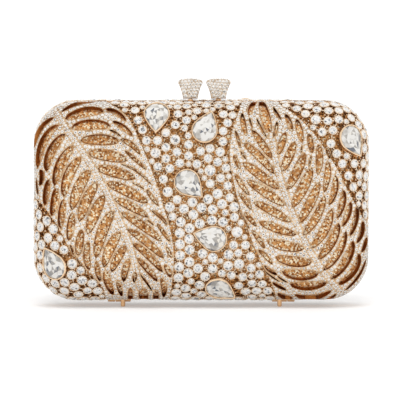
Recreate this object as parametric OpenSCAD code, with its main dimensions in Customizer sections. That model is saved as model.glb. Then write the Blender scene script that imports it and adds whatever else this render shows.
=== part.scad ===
// Crystal clutch: two stone-set half shells on a frame, hinged along the bottom, kiss clasp on top.
// Millimetres. X runs left to right, Z is up, the front faces -Y, the floor is Z = 0.

/* [Body] */
// Width over the crystals
body_w = 180; // [165:1:200]
// Height over the crystals, without feet and clasp
body_h = 107; // [98:1:120]
// Depth over the crystals, both halves closed
body_d = 50; // [46:1:64]
// Corner radius of the outline seen from the front
corner_r = 23.5; // [21:0.5:27]
// Radius of the tighter curve where the face turns into the side
edge_r = 14; // [12:0.5:16]
// Height of the lowest crystals above the floor
floor_gap = 3.6; // [3.4:0.1:5]

/* [Shell] */
// Height of the round crystals over the metal cage
stone_rise = 1.4; // [1.2:0.1:2]
// Thickness of the metal cage
cage_t = 0.8; // [0.6:0.1:1]
// Thickness of the glitter cloth with its backing board
liner_t = 0.8; // [0.6:0.1:1.2]
// Thickness of the satin lining
lining_t = 0.7; // [0.5:0.1:1]
// Free space between two layers of the shell
layer_gap = 0.2; // [0.2:0.05:0.3]
// Height of the pierced leaves over the cage
leaf_rise = 0.8; // [0.6:0.1:1]

/* [Frame] */
// Height of one frame rim, measured along the depth of the bag
rim_h = 3; // [2.6:0.1:4]
// Space left between the closed rims
closing_gap = 0.2; // [0.2:0.05:0.4]
// Wall of the closing lip on the back rim
lip_t = 0.8; // [0.6:0.1:1]
// Reach of the closing lip past the middle of the bag
lip_reach = 1.2; // [0.8:0.1:1.4]
// Free space around the closing lip
lip_gap = 0.4; // [0.3:0.05:0.5]

/* [Hinge] */
// Distance of each hinge's middle from the middle of the bag
hinge_x = 44; // [36:0.5:50]
// Length of a hinge over all its knuckles
hinge_w = 12; // [10:0.5:16]
// Outer radius of a knuckle
knuckle_r = 1.1; // [1:0.05:1.3]
// Radius of the hinge pin
hinge_pin_r = 0.5; // [0.4:0.05:0.6]
// Radial running clearance of the pin
pin_clearance = 0.05; // [0.03:0.01:0.08]
// Gap between neighbouring knuckles
knuckle_gap = 0.3; // [0.2:0.05:0.4]
// Thickness of a hinge leaf
hinge_leaf_t = 0.8; // [0.6:0.1:0.9]
// Depth of the hinge axis below the lowest crystals
hinge_drop = 0.4; // [0.2:0.05:0.6]

/* [Feet] */
// Distance of the feet from the middle of the bag, sideways
foot_x = 42; // [36:0.5:60]
// Distance of the feet from the closing plane
foot_y = 5.1; // [5:0.1:5.5]
// Radius of a foot
foot_r = 1.2; // [1:0.1:1.3]
// Chamfer round the tip of a foot
foot_chamfer = 0.4; // [0.2:0.1:0.6]

/* [Crystals] */
// Diameter of a round crystal
round_d = 4.5; // [4:0.1:5]
// Space between neighbouring crystals' cups
round_gap = 0.7; // [0.5:0.1:1.2]
// Wall of a crystal's cup
cup_wall = 0.25; // [0.2:0.05:0.3]
// Height of a cup over the cage
cup_h = 0.7; // [0.5:0.1:0.9]
// Radius of the large pear crystals at their round end
pear_r = 6.4; // [5.5:0.1:7]
// Length from a pear crystal's round centre to its tip
pear_tip = 10.9; // [9:0.1:12]
// Wall of a pear crystal's bezel
bezel_wall = 0.8; // [0.6:0.1:1]
// Height of a bezel over the cage
bezel_h = 1.5; // [1.2:0.1:1.8]
// Height of a pear crystal's table over the cage
pear_rise = 2.6; // [2.2:0.1:3]

/* [Clasp] */
// Width of a clasp knob at its top
knob_w = 13; // [11:0.5:14]
// Width of a clasp knob at its foot
knob_foot_w = 8; // [6:0.5:9]
// Height of a clasp knob
knob_h = 10.6; // [9:0.1:12]
// Depth of a clasp knob
knob_d = 6.6; // [5:0.1:8]
// Distance between the middles of the two knobs
knob_pitch = 15; // [14.6:0.1:18]
// Shift of the pair of knobs from the middle of the bag
knob_shift = 1.7; // [-5:0.1:5]
// Height of the knobs' feet over the frame
knob_lift = 2.4; // [2.4:0.1:4]
// Radius of a knob's spring stem
stem_r = 1; // [0.8:0.05:1]
// Free space round the ball at the stem's foot
ball_gap = 0.1; // [0.05:0.05:0.15]
// Height of the crystal pavement on a knob
knob_pave_t = 0.6; // [0.4:0.1:0.8]
// Diameter of the small crystals on a knob
small_d = 1.6; // [1.2:0.1:2.2]

/* [Hidden] */

$fn = 48;
rose_gold = [0.86, 0.66, 0.46];
pale_gold = [0.93, 0.80, 0.62];
glitter = [0.74, 0.55, 0.36];
satin = [0.80, 0.70, 0.58];
crystal = [0.93, 0.94, 0.95];

// Overrun of a cut past the faces that it opens
over = 0.5 * cage_t;

// The cage's metal surface: half sizes of its outline and height of its face over the closing plane
half_w = body_w / 2 - stone_rise;
half_h = body_h / 2 - stone_rise;
face_z = body_d / 2 - stone_rise;
// Height of the bag's middle above the floor
mid_y = floor_gap + body_h / 2;
// The face curves down in two arcs that meet where it is tilted by 45 degrees
meet_tilt = 45;
band = corner_r - stone_rise;
tight_r = edge_r - stone_rise;
wide_r = (band - tight_r) / sin(meet_tilt) + tight_r;
// Centres of the two arcs: distance from the corner's axis, and height over the closing plane
wide_z = face_z - wide_r;
tight_u = band - tight_r;
tight_z = wide_z + tight_u * cos(meet_tilt) / sin(meet_tilt);
// Corner axes
axis_x = half_w - band;
axis_y = half_h - band;

// Layers, as distances from the metal surface, outward positive
cage_in = -cage_t;
liner_out = cage_in - layer_gap;
liner_in = liner_out - liner_t;
lining_out = liner_in - layer_gap;
lining_in = lining_out - lining_t;
rim_low = closing_gap / 2;
rim_top = rim_low + rim_h;
// Half thickness and rebate of the front rim, which the back rim's lip enters
rebate = -lining_in - lip_t - lip_gap;

// Hinge axis
hinge_z = floor_gap - hinge_drop;
rim_under = floor_gap + stone_rise;

// Clasp
rim_over = floor_gap + body_h - stone_rise;
knob_z = rim_over + knob_lift;
stem_y = rim_low + rim_h / 2;
socket_h = 2 * stem_r;
socket_r = 0.48 * rim_h;
ball_drop = 0.25 * stem_r;

// Edges of the bag in the photograph's frame of 400 by 400 pixels
left_px = 33.5;
right_px = 369;
top_px = 100;
low_px = 299.8;
// The photograph looks down on the bag by this angle, so what stands forward shows lower
view_tilt = 5;

// Outline of each leaf in pixels; past the bag's edge it runs on over the side down to the rim
left_leaf_px = [
  [101, 90], [108, 104], [120, 110], [130, 120], [135, 130], [144, 150], [152, 170], [159, 190],
  [165, 210], [171, 230], [174, 250], [174, 270], [171, 290], [168, 310], [108, 310], [104, 287],
  [97, 280], [87, 270], [80, 260], [70, 250], [66, 240], [61, 230], [55, 220], [48, 210],
  [40, 200], [22, 188], [22, 90],
];
right_leaf_px = [
  [246, 90], [277, 90], [278, 106], [290, 112], [300, 120], [310, 130], [318, 140], [325, 150],
  [337, 170], [346, 190], [357, 210], [363, 222], [380, 226], [380, 310], [276, 310], [276, 296],
  [272, 285], [268, 275], [262, 265], [258, 255], [253, 245], [246, 225], [239, 205], [234, 185],
  [230, 165], [229, 150], [231, 135], [234, 125], [238, 114],
];
// Pierced gaps between the ribs in pixels: start, middle, end and greatest width
left_gaps_px = [
  [[66, 120], [85, 113.3], [103.5, 112.5], 8], [[73, 128.5], [91, 125.3], [110.5, 127], 8.5],
  [[81.5, 141], [101, 140], [119, 142], 9], [[89.5, 153.5], [107, 155.3], [126, 160], 10],
  [[97, 167.5], [115, 172], [134, 178], 9.5], [[107.5, 183.5], [126, 190.5], [146, 202], 9],
  [[115, 199], [131, 206.5], [148.5, 217], 7], [[122, 213], [141, 224.5], [160.5, 240], 7],
  [[128, 229.5], [145, 240.5], [161.5, 256], 6.5], [[133, 243.5], [148, 255], [162.5, 271.5], 6],
  [[137, 258], [147, 268], [157, 280], 5], [[59.5, 126], [45.5, 141], [39.5, 167], 6],
  [[66, 134.5], [53, 151], [48, 172], 7.5], [[74, 146], [62, 163.5], [56, 185], 8],
  [[82, 157], [70, 174], [65, 195], 8.5], [[91, 170], [80, 186.5], [73, 208], 9.5],
  [[98, 183], [87.5, 199.5], [80.5, 220], 9], [[105, 195], [95.5, 213], [88.5, 233], 9.5],
  [[114, 211], [103, 231], [96.5, 257], 9.5], [[121, 232], [111, 247], [104.5, 266], 8.5],
  [[126.5, 246], [118.5, 257], [112.5, 270.5], 7], [[130.5, 259.5], [126, 268], [124, 280], 5.5],
  [[106.5, 110.5], [117.5, 114], [126, 121.5], 3.8], [[115, 123], [124.5, 128.3], [131.5, 135], 4],
  [[121, 140], [131, 144], [139.5, 153], 4.2], [[127.5, 152.5], [135.5, 159.5], [144.5, 168], 3],
  [[147, 189.5], [151.5, 196.5], [158, 205], 3.4], [[154, 212], [162, 218], [167, 225], 3],
  [[158, 225], [164, 233], [170, 242], 3], [[162, 279.5], [164.5, 286.5], [164, 294], 4.5],
  [[42.5, 170.5], [44, 177], [41.5, 186], 4], [[50, 181], [48, 192], [46.5, 206], 5],
  [[57, 189.5], [56, 202], [53, 216.5], 6.2], [[64.5, 201], [62.8, 214], [61.5, 229], 5.6],
  [[73, 215], [71.5, 227], [69.5, 241], 6], [[82, 231.5], [80, 243.5], [78.5, 256], 6.6],
  [[88.5, 244], [87, 257], [90, 270], 5.6], [[97, 262.5], [98, 271], [100.5, 281], 4.2],
  [[106.5, 271.5], [108, 280], [112, 290], 5], [[118.5, 282], [119.5, 287], [121, 292], 4],
  [[62, 113.5], [80, 103.7], [98, 102.5], 3.6], [[55.5, 118.5], [42, 129.5], [36, 148], 4.6],
];
right_gaps_px = [
  [[252, 131], [262.5, 145], [271, 158], 5.5], [[244, 144], [259, 156.5], [273, 173], 6.5],
  [[243, 163], [260, 175], [278, 189], 8], [[248, 181.5], [265.5, 192.5], [282, 204.5], 8],
  [[255, 203], [271.5, 210.8], [289, 221.5], 7], [[260, 222.5], [277, 229], [295, 234.5], 7],
  [[267.5, 241], [285, 246.3], [303.5, 248.5], 8.5], [[277.5, 258], [294, 262], [311, 262], 8.7],
  [[284, 272], [300.5, 275.3], [317.5, 273], 8.7], [[291, 284], [308, 285.8], [326, 282.3], 6.5],
  [[296, 294.5], [313, 297], [330, 290.5], 4], [[284, 136], [281, 145], [277.5, 155], 5.5],
  [[293.5, 144], [288, 158], [281.5, 171.5], 7.5], [[304, 154], [296.5, 172], [287, 189.5], 8],
  [[311, 168], [302.5, 188], [291.5, 207.5], 9], [[318, 184], [309.3, 204], [298.5, 223.5], 8],
  [[323.5, 198], [315.5, 218], [302.5, 235.5], 7.2], [[330.5, 211], [323.8, 231], [310, 248.5], 7.6],
  [[337.5, 224], [330.3, 243], [317.5, 259.5], 7.5], [[344.5, 233], [337, 254], [322.5, 270.5], 5.6],
  [[351.5, 242], [345, 261], [330.5, 279], 6.8], [[357.5, 254], [352.5, 270.5], [337, 284.5], 5.5],
  [[242, 115.5], [242.8, 124], [245, 132.5], 4], [[234, 156], [236, 161], [239, 167], 3.5],
  [[235, 174], [241, 184.5], [248, 194], 4], [[239, 194], [245, 200], [250, 208], 4],
  [[244.5, 212.5], [249, 218], [254.5, 224.5], 3.2], [[252, 231], [258.5, 239], [264, 248], 4],
  [[258, 250], [264.5, 255.5], [271, 263], 3.5], [[264, 265.5], [270, 270.5], [277, 274.5], 3],
  [[254.5, 103.5], [250.5, 109], [249, 116], 4], [[261.5, 104], [265.5, 119], [269, 134], 8],
  [[286, 117], [289, 123], [291, 130], 4], [[296, 120], [299, 131], [301.5, 143], 5],
  [[308.3, 135.5], [310, 143.5], [311.5, 152.5], 4.6], [[317.5, 144.5], [319, 158], [317.5, 173], 5.5],
  [[327, 162.5], [327, 175], [324, 190.5], 5], [[334.5, 177], [334, 190], [329, 204], 5],
  [[342.5, 191], [341.3, 204], [336.5, 217.5], 5], [[349, 202], [346.8, 214], [341.5, 226], 4.6],
  [[355.5, 206], [354, 221], [349, 235.5], 4.2], [[361, 221], [360, 233], [355, 243.5], 3.6],
];
// Shares along a gap where its two sides have a point, and the width there against the greatest
gap_step_shares = [0.12, 0.35, 0.65, 0.88];
gap_width_shares = [0.7, 1, 1, 0.7];
// Pear crystals in pixels: round centre and tip
pears_px = [
  [[157, 114], [156, 133]], [[204.5, 131.5], [212, 110]], [[187, 182], [203, 198]],
  [[214, 239], [192, 233]], [[218, 287], [236, 299]], [[56, 267], [44.5, 246.5]],
  [[349, 138], [361, 158]],
];

// Place in the bag's own outline of a pixel of the photograph: where it would be on a flat bag, and
// raised by what the camera's tilt hides
function flat_at(p) = [
  ((p[0] - left_px) / (right_px - left_px) - 0.5) * body_w,
  ((low_px - p[1]) / (low_px - top_px) - 0.5) * body_h,
];
function raised(q, near) = [q[0], q[1] + tan(view_tilt) * height_at(min(band, reach_of(near)))];
function at(p) = raised(flat_at(p), raised(flat_at(p), flat_at(p)));
function px_length(n) = n / (right_px - left_px) * body_w;

// Nearest point of the flat face, and distance and heading from there
function clamp(v, limit) = max(-limit, min(limit, v));
function foot_of(p) = [clamp(p[0], axis_x), clamp(p[1], axis_y)];
function reach_of(p) = norm(p - foot_of(p));
function heading_of(p) = reach_of(p) == 0 ? 0 : atan2(p[1] - foot_of(p)[1], p[0] - foot_of(p)[0]);
// Tilt of the metal surface under a point of the outline, and its height over the closing plane
function tilt_at(u) = u <= wide_r * sin(meet_tilt)
  ? asin(u / wide_r)
  : asin(min(1, (u - tight_u) / tight_r));
function height_at(u) = u <= wide_r * sin(meet_tilt)
  ? wide_z + wide_r * cos(tilt_at(u))
  : tight_z + tight_r * cos(tilt_at(u));

// Is a point inside an outline, and how far is it from the outline
function crosses(p, a, b) = (a[1] > p[1]) != (b[1] > p[1])
  && p[0] < (b[0] - a[0]) * (p[1] - a[1]) / (b[1] - a[1]) + a[0];
function inside(p, line) = len([
  for (i = [0 : len(line) - 1]) if (crosses(p, line[i], line[(i + 1) % len(line)])) i
]) % 2 == 1;
function share_along(p, a, b) = max(0, min(1, (p - a) * (b - a) / ((b - a) * (b - a))));
function from_segment(p, a, b) = norm(p - a - share_along(p, a, b) * (b - a));
function from_line(p, line) = min([
  for (i = [0 : len(line) - 1]) from_segment(p, line[i], line[(i + 1) % len(line)])
]);

left_leaf = [for (p = left_leaf_px) at(p)];
right_leaf = [for (p = right_leaf_px) at(p)];
pears = [for (p = pears_px) [at(p[0]), at(p[1])]];

// A place for a round crystal keeps clear of the leaves and of the pear crystals
cup_r = round_d / 2 + cup_wall;
pear_clear = pear_r + bezel_wall + cup_r;
function clear_of_leaf(p, leaf) = !inside(p, leaf) && from_line(p, leaf) > cup_r + layer_gap;
function clear_of_pear(p, q) = from_segment(p, q[0], q[0] + pear_tip / 2 * unit(q[1] - q[0])) > pear_clear;
function unit(v) = v / norm(v);
function is_free(p) = clear_of_leaf(p, left_leaf) && clear_of_leaf(p, right_leaf)
  && min([for (q = pears) clear_of_pear(p, q) ? 1 : 0]) == 1;

// Rows of round crystals over the face, set like bricks, as far out as the ring over the edge allows
pitch = 2 * cup_r + round_gap;
row_h = pitch * sin(60);
edge_tilt = 70;
field_u = tight_u + tight_r * sin(edge_tilt - pitch / tight_r * 180 / PI);
columns = ceil(half_w / pitch);
rows = ceil(half_h / row_h);
field = [
  for (j = [-rows : rows], i = [-columns : columns])
    let (p = [(i + (j % 2 == 0 ? 0 : 0.5)) * pitch, j * row_h])
    if (reach_of(p) <= field_u && is_free(p)) p
];

// Rings of round crystals that follow the outline: one over the edge and one round the side
straight_x = 2 * axis_x;
straight_y = 2 * axis_y;
function ring_length(u) = 2 * straight_x + 2 * straight_y + 360 * u * PI / 180;
// Walks round the outline at distance u from the flat face, starting at the top left
function walk(s, u, leg = 0) =
  let (
    arc = 90 * u * PI / 180,
    run = leg % 2 == 0 ? (leg % 4 == 0 ? straight_x : straight_y) : arc,
    corner = [[-1, 1], [1, 1], [1, -1], [-1, -1]][floor(leg / 2) % 4],
    next = [[1, 1], [1, -1], [-1, -1], [-1, 1]][floor(leg / 2) % 4],
    from = [corner[0] * axis_x, corner[1] * axis_y],
    to = [next[0] * axis_x, next[1] * axis_y],
    out = 90 - 90 * floor(leg / 2)
  )
  s > run ? walk(s - run, u, leg + 1)
  : leg % 2 == 0 ? from + s / run * (to - from) + u * [cos(out), sin(out)]
  : to + u * [cos(out - s / u * 180 / PI), sin(out - s / u * 180 / PI)];
edge_u = tight_u + tight_r * sin(edge_tilt);
edge_z = tight_z + tight_r * cos(edge_tilt);
edge_count = floor(ring_length(edge_u) / pitch);
side_count = floor(ring_length(band) / pitch);
edge_ring = [
  for (i = [0 : edge_count - 1])
    let (p = walk(i * ring_length(edge_u) / edge_count, edge_u))
    if (is_free(p)) p
];
// The straight side takes as many rings as it has room for between the rim and the ring over the edge
side_z = rim_top + cup_r + closing_gap;
side_rows = 1 + floor((min(tight_z, edge_z - 2 * cup_r) - side_z) / pitch);
foot_clear = foot_r + cup_r + round_gap;
function clear_of_foot(p) = p[1] > 0 || abs(abs(p[0]) - foot_x) > foot_clear;
side_ring = [
  for (i = [0 : side_count - 1])
    let (p = walk((i + 0.5) * ring_length(band) / side_count, band))
    if (is_free(p) && clear_of_foot(p)) p
];

// The closed outline of the bag, grown by e past the metal surface
module outline(e) {
  square([2 * axis_x, 2 * (half_h + e)], center = true);
  square([2 * (half_w + e), 2 * axis_y], center = true);
  for (sx = [-1, 1], sy = [-1, 1]) translate([sx * axis_x, sy * axis_y]) circle(r = band + e);
}

// Section line of the surface that lies e past the metal, from the flat face out to the side, in short
// chords of the two arcs: x from a corner's axis, y over the closing plane
arc_steps = 4;
function surface_line(e) = concat(
  [for (i = [0 : arc_steps]) let (t = meet_tilt * i / arc_steps)
    [(wide_r + e) * sin(t), wide_z + (wide_r + e) * cos(t)]],
  [for (i = [1 : arc_steps]) let (t = meet_tilt + (90 - meet_tilt) * i / arc_steps)
    [tight_u + (tight_r + e) * sin(t), tight_z + (tight_r + e) * cos(t)]]
);
function backwards(line) = [for (i = [len(line) - 1 : -1 : 0]) line[i]];

// Section of the layer between the distances inner and outer from the metal surface
module layer_section(inner, outer, low) {
  polygon(concat(
    surface_line(outer),
    [[band + outer, low], [band + inner, low]],
    backwards(surface_line(inner))
  ));
}

// Sweeps a section round the half, in the half's own frame: face up, closing plane down
module sweep_round() {
  for (k = [0 : 3]) {
    sx = k == 0 || k == 3 ? 1 : -1;
    sy = k < 2 ? 1 : -1;
    translate([sx * axis_x, sy * axis_y, 0]) rotate([0, 0, 90 * k]) rotate_extrude(angle = 90) children();
  }
  for (s = [-1, 1]) {
    translate([s * axis_x, -s * axis_y, 0]) rotate([90, 0, 90 - 90 * s])
      mirror([0, 0, 1]) linear_extrude(straight_y) children();
    translate([s * axis_x, s * axis_y, 0]) rotate([90, 0, 90 * s])
      mirror([0, 0, 1]) linear_extrude(straight_x) children();
  }
}
// A whole layer of the shell above the height low
module layer(inner, outer, low) {
  sweep_round() layer_section(inner, outer, low);
  translate([-axis_x, -axis_y, face_z + inner]) cube([straight_x, straight_y, outer - inner]);
}
// All that lies under the surface e past the metal
module under_layer(e, low) {
  sweep_round() polygon(concat([[0, low]], surface_line(e), [[band + e, low]]));
  translate([-axis_x, -axis_y, low]) cube([straight_x, straight_y, face_z + e - low]);
}

// Puts a half's own frame into the bag: the front half faces -Y, and the back half is the same, turned
module front_half() {
  translate([0, 0, mid_y]) rotate([90, 0, 0]) children();
}
module back_half() {
  rotate([0, 0, 180]) front_half() children();
}

// Sets a child on the metal surface over a point of the outline, its +Z outward
module on_shell(p) {
  u = reach_of(p);
  translate([p[0], p[1], height_at(u)]) rotate([0, tilt_at(u), heading_of(p)]) children();
}
// Sets a child on the straight side at a height over the closing plane, its +Z outward
module on_side(p, z) {
  translate([p[0], p[1], z]) rotate([0, 90, heading_of(p)]) children();
}

module upright(line, low, high) {
  translate([0, 0, low]) linear_extrude(high - low) polygon(line);
}

// Lens-shaped gap between two ribs
function bend(a, m, b) = 2 * m - (a + b) / 2;
function gap_at(a, m, b, t) = (1 - t) * (1 - t) * a + 2 * t * (1 - t) * bend(a, m, b) + t * t * b;
function gap_way(a, m, b, t) = unit(2 * (1 - t) * (bend(a, m, b) - a) + 2 * t * (b - bend(a, m, b)));
function gap_side(g, i, side) =
  let (t = gap_step_shares[i], way = gap_way(g[0], g[1], g[2], t))
  gap_at(g[0], g[1], g[2], t) + side * gap_width_shares[i] * g[3] / 2 * [-way[1], way[0]];
function gap_line(g) = concat(
  [g[0]],
  [for (i = [0 : len(gap_step_shares) - 1]) gap_side(g, i, 1)],
  [g[2]],
  [for (i = [len(gap_step_shares) - 1 : -1 : 0]) gap_side(g, i, -1)]
);
function gap_mm(g) = [at(g[0]), at(g[1]), at(g[2]), px_length(g[3])];
// How deep a gap is cut: past the leaf at its lowest end
function gap_low(g) = min([for (i = [0 : 2]) height_at(min(band, reach_of(g[i]) + g[3] / 2))]) - 2 * cage_t;

module pierced_leaf(line, gaps) {
  difference() {
    intersection() {
      layer(cage_in, leaf_rise, rim_top);
      upright(line, rim_top, face_z + 2 * leaf_rise);
    }
    for (px = gaps) {
      g = gap_mm(px);
      upright(gap_line(g), max(rim_top + over, gap_low(g)), face_z + 2 * leaf_rise);
    }
  }
}

module cage() {
  color(rose_gold) difference() {
    layer(cage_in, 0, rim_top);
    upright(left_leaf, rim_top - over, face_z + over);
    upright(right_leaf, rim_top - over, face_z + over);
  }
}
module liner() {
  color(glitter) layer(liner_in, liner_out, rim_top);
}
module lining() {
  color(satin) layer(lining_in, lining_out, rim_top);
}
module leaf_left() {
  color(pale_gold) pierced_leaf(left_leaf, left_gaps_px);
}
module leaf_right() {
  color(pale_gold) pierced_leaf(right_leaf, right_gaps_px);
}

// Rims: the front one has a rebate for the back one's lip
module rim_ring(inner, outer, low, high) {
  translate([0, 0, low]) linear_extrude(high - low) difference() {
    outline(outer);
    outline(inner);
  }
}
module front_rim_half() {
  color(rose_gold) {
    rim_ring(-rebate, 0, rim_low, lip_reach + lip_gap);
    rim_ring(lining_in, 0, lip_reach + lip_gap, rim_top);
  }
}
module back_rim_half() {
  color(rose_gold) {
    rim_ring(lining_in, 0, rim_low, rim_top);
    rim_ring(lining_in, lining_in + lip_t, -lip_reach, rim_low);
  }
}

// A round crystal's cup and its cut crystal
module round_cup() {
  translate([0, 0, cup_lift]) difference() {
    cylinder(r = cup_r, h = cup_h - cup_lift);
    translate([0, 0, cup_floor]) cylinder(r = round_d / 2 + crystal_gap, h = cup_h);
  }
}
// A cup stands this far off the curved metal, and its floor is this thick
cup_lift = 0.06 * round_d / 2;
cup_floor = 0.3 * cup_h;
crystal_gap = 0.2 * cup_wall;
table_share = 0.56;
girdle = 0.25 * stone_rise;
module round_crystal() {
  low = cup_lift + cup_floor;
  translate([0, 0, low]) cylinder(r = round_d / 2, h = girdle);
  translate([0, 0, low + girdle])
    cylinder(r1 = round_d / 2, r2 = table_share * round_d / 2, h = stone_rise - low - girdle);
}
module over_field() {
  for (p = concat(field, edge_ring)) on_shell(p) children();
  for (k = [0 : 1 : side_rows - 1], p = side_ring) on_side(p, side_z + k * pitch) children();
}
module round_cups() {
  color(rose_gold) over_field() round_cup();
}
module round_crystals() {
  color(crystal) over_field() round_crystal();
}

// A pear outline of round radius r, tip at +X; the sides are tangents from the tip
module pear(r, tip) {
  lean = acos(r / tip);
  circle(r = r);
  polygon([[0, 0], r * [cos(lean), sin(lean)], [tip, 0], r * [cos(lean), -sin(lean)]]);
}
// A pear sits square to the surface under the middle of its length, not under its round centre
pear_mid = (pear_tip - pear_r) / 2;
function pear_seat(q) = q[0] + pear_mid * unit(q[1] - q[0]);
module over_pears() {
  for (q = pears) on_shell(pear_seat(q))
    rotate([0, 0, atan2((q[1] - q[0])[1], (q[1] - q[0])[0]) - heading_of(pear_seat(q))])
      translate([-pear_mid, 0, 0]) children();
}
bezel_floor = 0.35 * bezel_h;
// A bezel's skirt runs down past its floor until it meets the curved cage
skirt_h = pear_tip * pear_tip / wide_r;
module pear_bezel() {
  difference() {
    translate([0, 0, -skirt_h]) linear_extrude(bezel_h + skirt_h)
      pear(pear_r + bezel_wall, pear_tip + 1.6 * bezel_wall);
    translate([0, 0, bezel_floor]) linear_extrude(bezel_h)
      pear(pear_r + crystal_gap, pear_tip + 2 * crystal_gap);
  }
}
module pear_bezels() {
  color(rose_gold) difference() {
    over_pears() pear_bezel();
    under_layer(crystal_gap, rim_top);
  }
}
// Points round a pear, as many on the round end as sides, and the tip
pear_sides = 10;
function pear_line(r, tip, z) = let (lean = acos(r / tip)) concat(
  [for (i = [0 : pear_sides])
    let (turn = lean + i * (360 - 2 * lean) / pear_sides) [r * cos(turn), r * sin(turn), z]],
  [[tip, 0, z]]
);
module pear_crystal() {
  n = pear_sides + 2;
  low = bezel_floor;
  mid = 0.55 * bezel_h + 0.45 * bezel_floor;
  lines = [
    pear_line(pear_r, pear_tip, low), pear_line(pear_r, pear_tip, mid),
    pear_line(table_share * pear_r, table_share * pear_tip, pear_rise),
  ];
  polyhedron(
    points = concat(lines[0], lines[1], lines[2]),
    faces = concat(
      [[for (i = [0 : n - 1]) i], [for (i = [n - 1 : -1 : 0]) 2 * n + i]],
      [for (k = [0 : 1], i = [0 : n - 1]) [k * n + i, (k + 1) * n + i, k * n + (i + 1) % n]],
      [for (k = [0 : 1], i = [0 : n - 1]) [k * n + (i + 1) % n, (k + 1) * n + i, (k + 1) * n + (i + 1) % n]]
    )
  );
}
module pear_crystals() {
  color(crystal) over_pears() pear_crystal();
}

// Hinges: the back leaf carries the outer knuckles and the front leaf the middle one
knuckle_w = (hinge_w - 2 * knuckle_gap) / 3;
module tube_x(r, w) {
  rotate([0, 90, 0]) cylinder(r = r, h = w, center = true);
}
// The plate lies flat under the rim, past the other leaf's knuckle; a web joins each knuckle to it
plate_start = knuckle_r + knuckle_gap;
web_t = 0.6 * knuckle_r;
module hinge_leaf(places, w) {
  color(rose_gold) difference() {
    union() {
      translate([-w / 2, plate_start, rim_under - hinge_leaf_t])
        cube([w, rim_top - plate_start, hinge_leaf_t]);
      for (x = places) translate([x, 0, 0]) {
        translate([0, 0, hinge_z]) tube_x(knuckle_r, knuckle_w);
        translate([-knuckle_w / 2, knuckle_r - web_t, hinge_z])
          cube([knuckle_w, web_t, rim_under - hinge_z]);
        translate([-knuckle_w / 2, knuckle_r - web_t, rim_under - hinge_leaf_t])
          cube([knuckle_w, plate_start - knuckle_r + 2 * web_t, hinge_leaf_t]);
      }
    }
    translate([0, 0, hinge_z]) tube_x(hinge_pin_r + pin_clearance, 2 * hinge_w);
  }
}
module back_hinge_leaf(side) {
  translate([side * hinge_x, 0, 0]) hinge_leaf([-1, 1] * (knuckle_w + knuckle_gap), hinge_w);
}
module front_hinge_leaf(side) {
  translate([side * hinge_x, 0, 0]) rotate([0, 0, 180]) hinge_leaf([0], hinge_w);
}
module hinge_pin(side) {
  color(pale_gold) translate([side * hinge_x, 0, hinge_z]) tube_x(hinge_pin_r, hinge_w + 2 * knuckle_gap);
}

// Two peg feet on each half, up to the cage or to the leaf that runs over them
function on_leaf(p) = inside(p, left_leaf) || inside(p, right_leaf);
function foot_top(x) = rim_under - (on_leaf([x, -half_h]) ? leaf_rise : 0);
module feet() {
  color(rose_gold) for (s = [-1, 1]) translate([s * foot_x, -foot_y, 0]) {
    cylinder(r1 = foot_r - foot_chamfer, r2 = foot_r, h = foot_chamfer);
    translate([0, 0, foot_chamfer]) cylinder(r = foot_r, h = foot_top(s * foot_x) - foot_chamfer);
  }
}

// Clasp knobs: fans that flare upward over a spring stem
function knob_x(side) = knob_shift + side * knob_pitch / 2;
crown_rise = 0.1 * knob_h;
shoulder_h = knob_h - 2 * crown_rise;
flare = 1.7;
flare_steps = 6;
function knob_half(z) = knob_foot_w / 2 + (knob_w - knob_foot_w) / 2 * pow(z / shoulder_h, flare);
knob_side = [for (i = [0 : flare_steps]) let (z = i * shoulder_h / flare_steps) [knob_half(z), z]];
knob_line = [
  each knob_side,
  [knob_w / 2 - crown_rise, knob_h - crown_rise / 2], [knob_w / 4, knob_h],
  [-knob_w / 4, knob_h], [-knob_w / 2 + crown_rise, knob_h - crown_rise / 2],
  for (i = [flare_steps : -1 : 0]) [-knob_side[i][0], knob_side[i][1]],
];
knob_body_d = knob_d - 2 * knob_pave_t;
module knob(side) {
  color(pale_gold) translate([knob_x(side), knob_body_d / 2, knob_z]) rotate([90, 0, 0])
    linear_extrude(knob_body_d) polygon(knob_line);
}
// Small crystals in rows on both flat faces of a knob
small_step = 1.12 * small_d;
knob_rows = floor((knob_h - crown_rise) / small_step);
module knob_crystals(side) {
  color(crystal) for (face = [-1, 1], j = [0 : knob_rows - 1]) {
    z = (j + 0.6) * small_step;
    n = floor((2 * knob_half(min(z, shoulder_h)) - small_step / 4) / small_step);
    for (i = [0 : n - 1])
      translate([knob_x(side) + (i - (n - 1) / 2) * small_step, face * knob_body_d / 2, knob_z + z])
        rotate([-90 * face, 0, 0]) {
          cylinder(r = small_d / 2, h = knob_pave_t / 2);
          translate([0, 0, knob_pave_t / 2])
            cylinder(r1 = small_d / 2, r2 = table_share * small_d / 2, h = knob_pave_t / 2);
        }
  }
}
// A knob's stem ends in half a ball that rocks in a socket on its own rim, beside the closing plane
ball_z = rim_over + socket_h - ball_drop;
module knob_stem(side) {
  color(rose_gold) translate([knob_x(side), side * stem_y, ball_z]) {
    cylinder(r = stem_r, h = knob_z - ball_z);
    difference() {
      sphere(r = stem_r);
      cylinder(r = 2 * stem_r, h = 2 * stem_r);
    }
  }
}
module clasp_socket(side) {
  color(rose_gold) translate([knob_x(side), side * stem_y, rim_over]) difference() {
    cylinder(r = socket_r, h = socket_h);
    translate([0, 0, socket_h - ball_drop - stem_r - ball_gap]) cylinder(r = stem_r + ball_gap, h = socket_h);
  }
}

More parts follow.
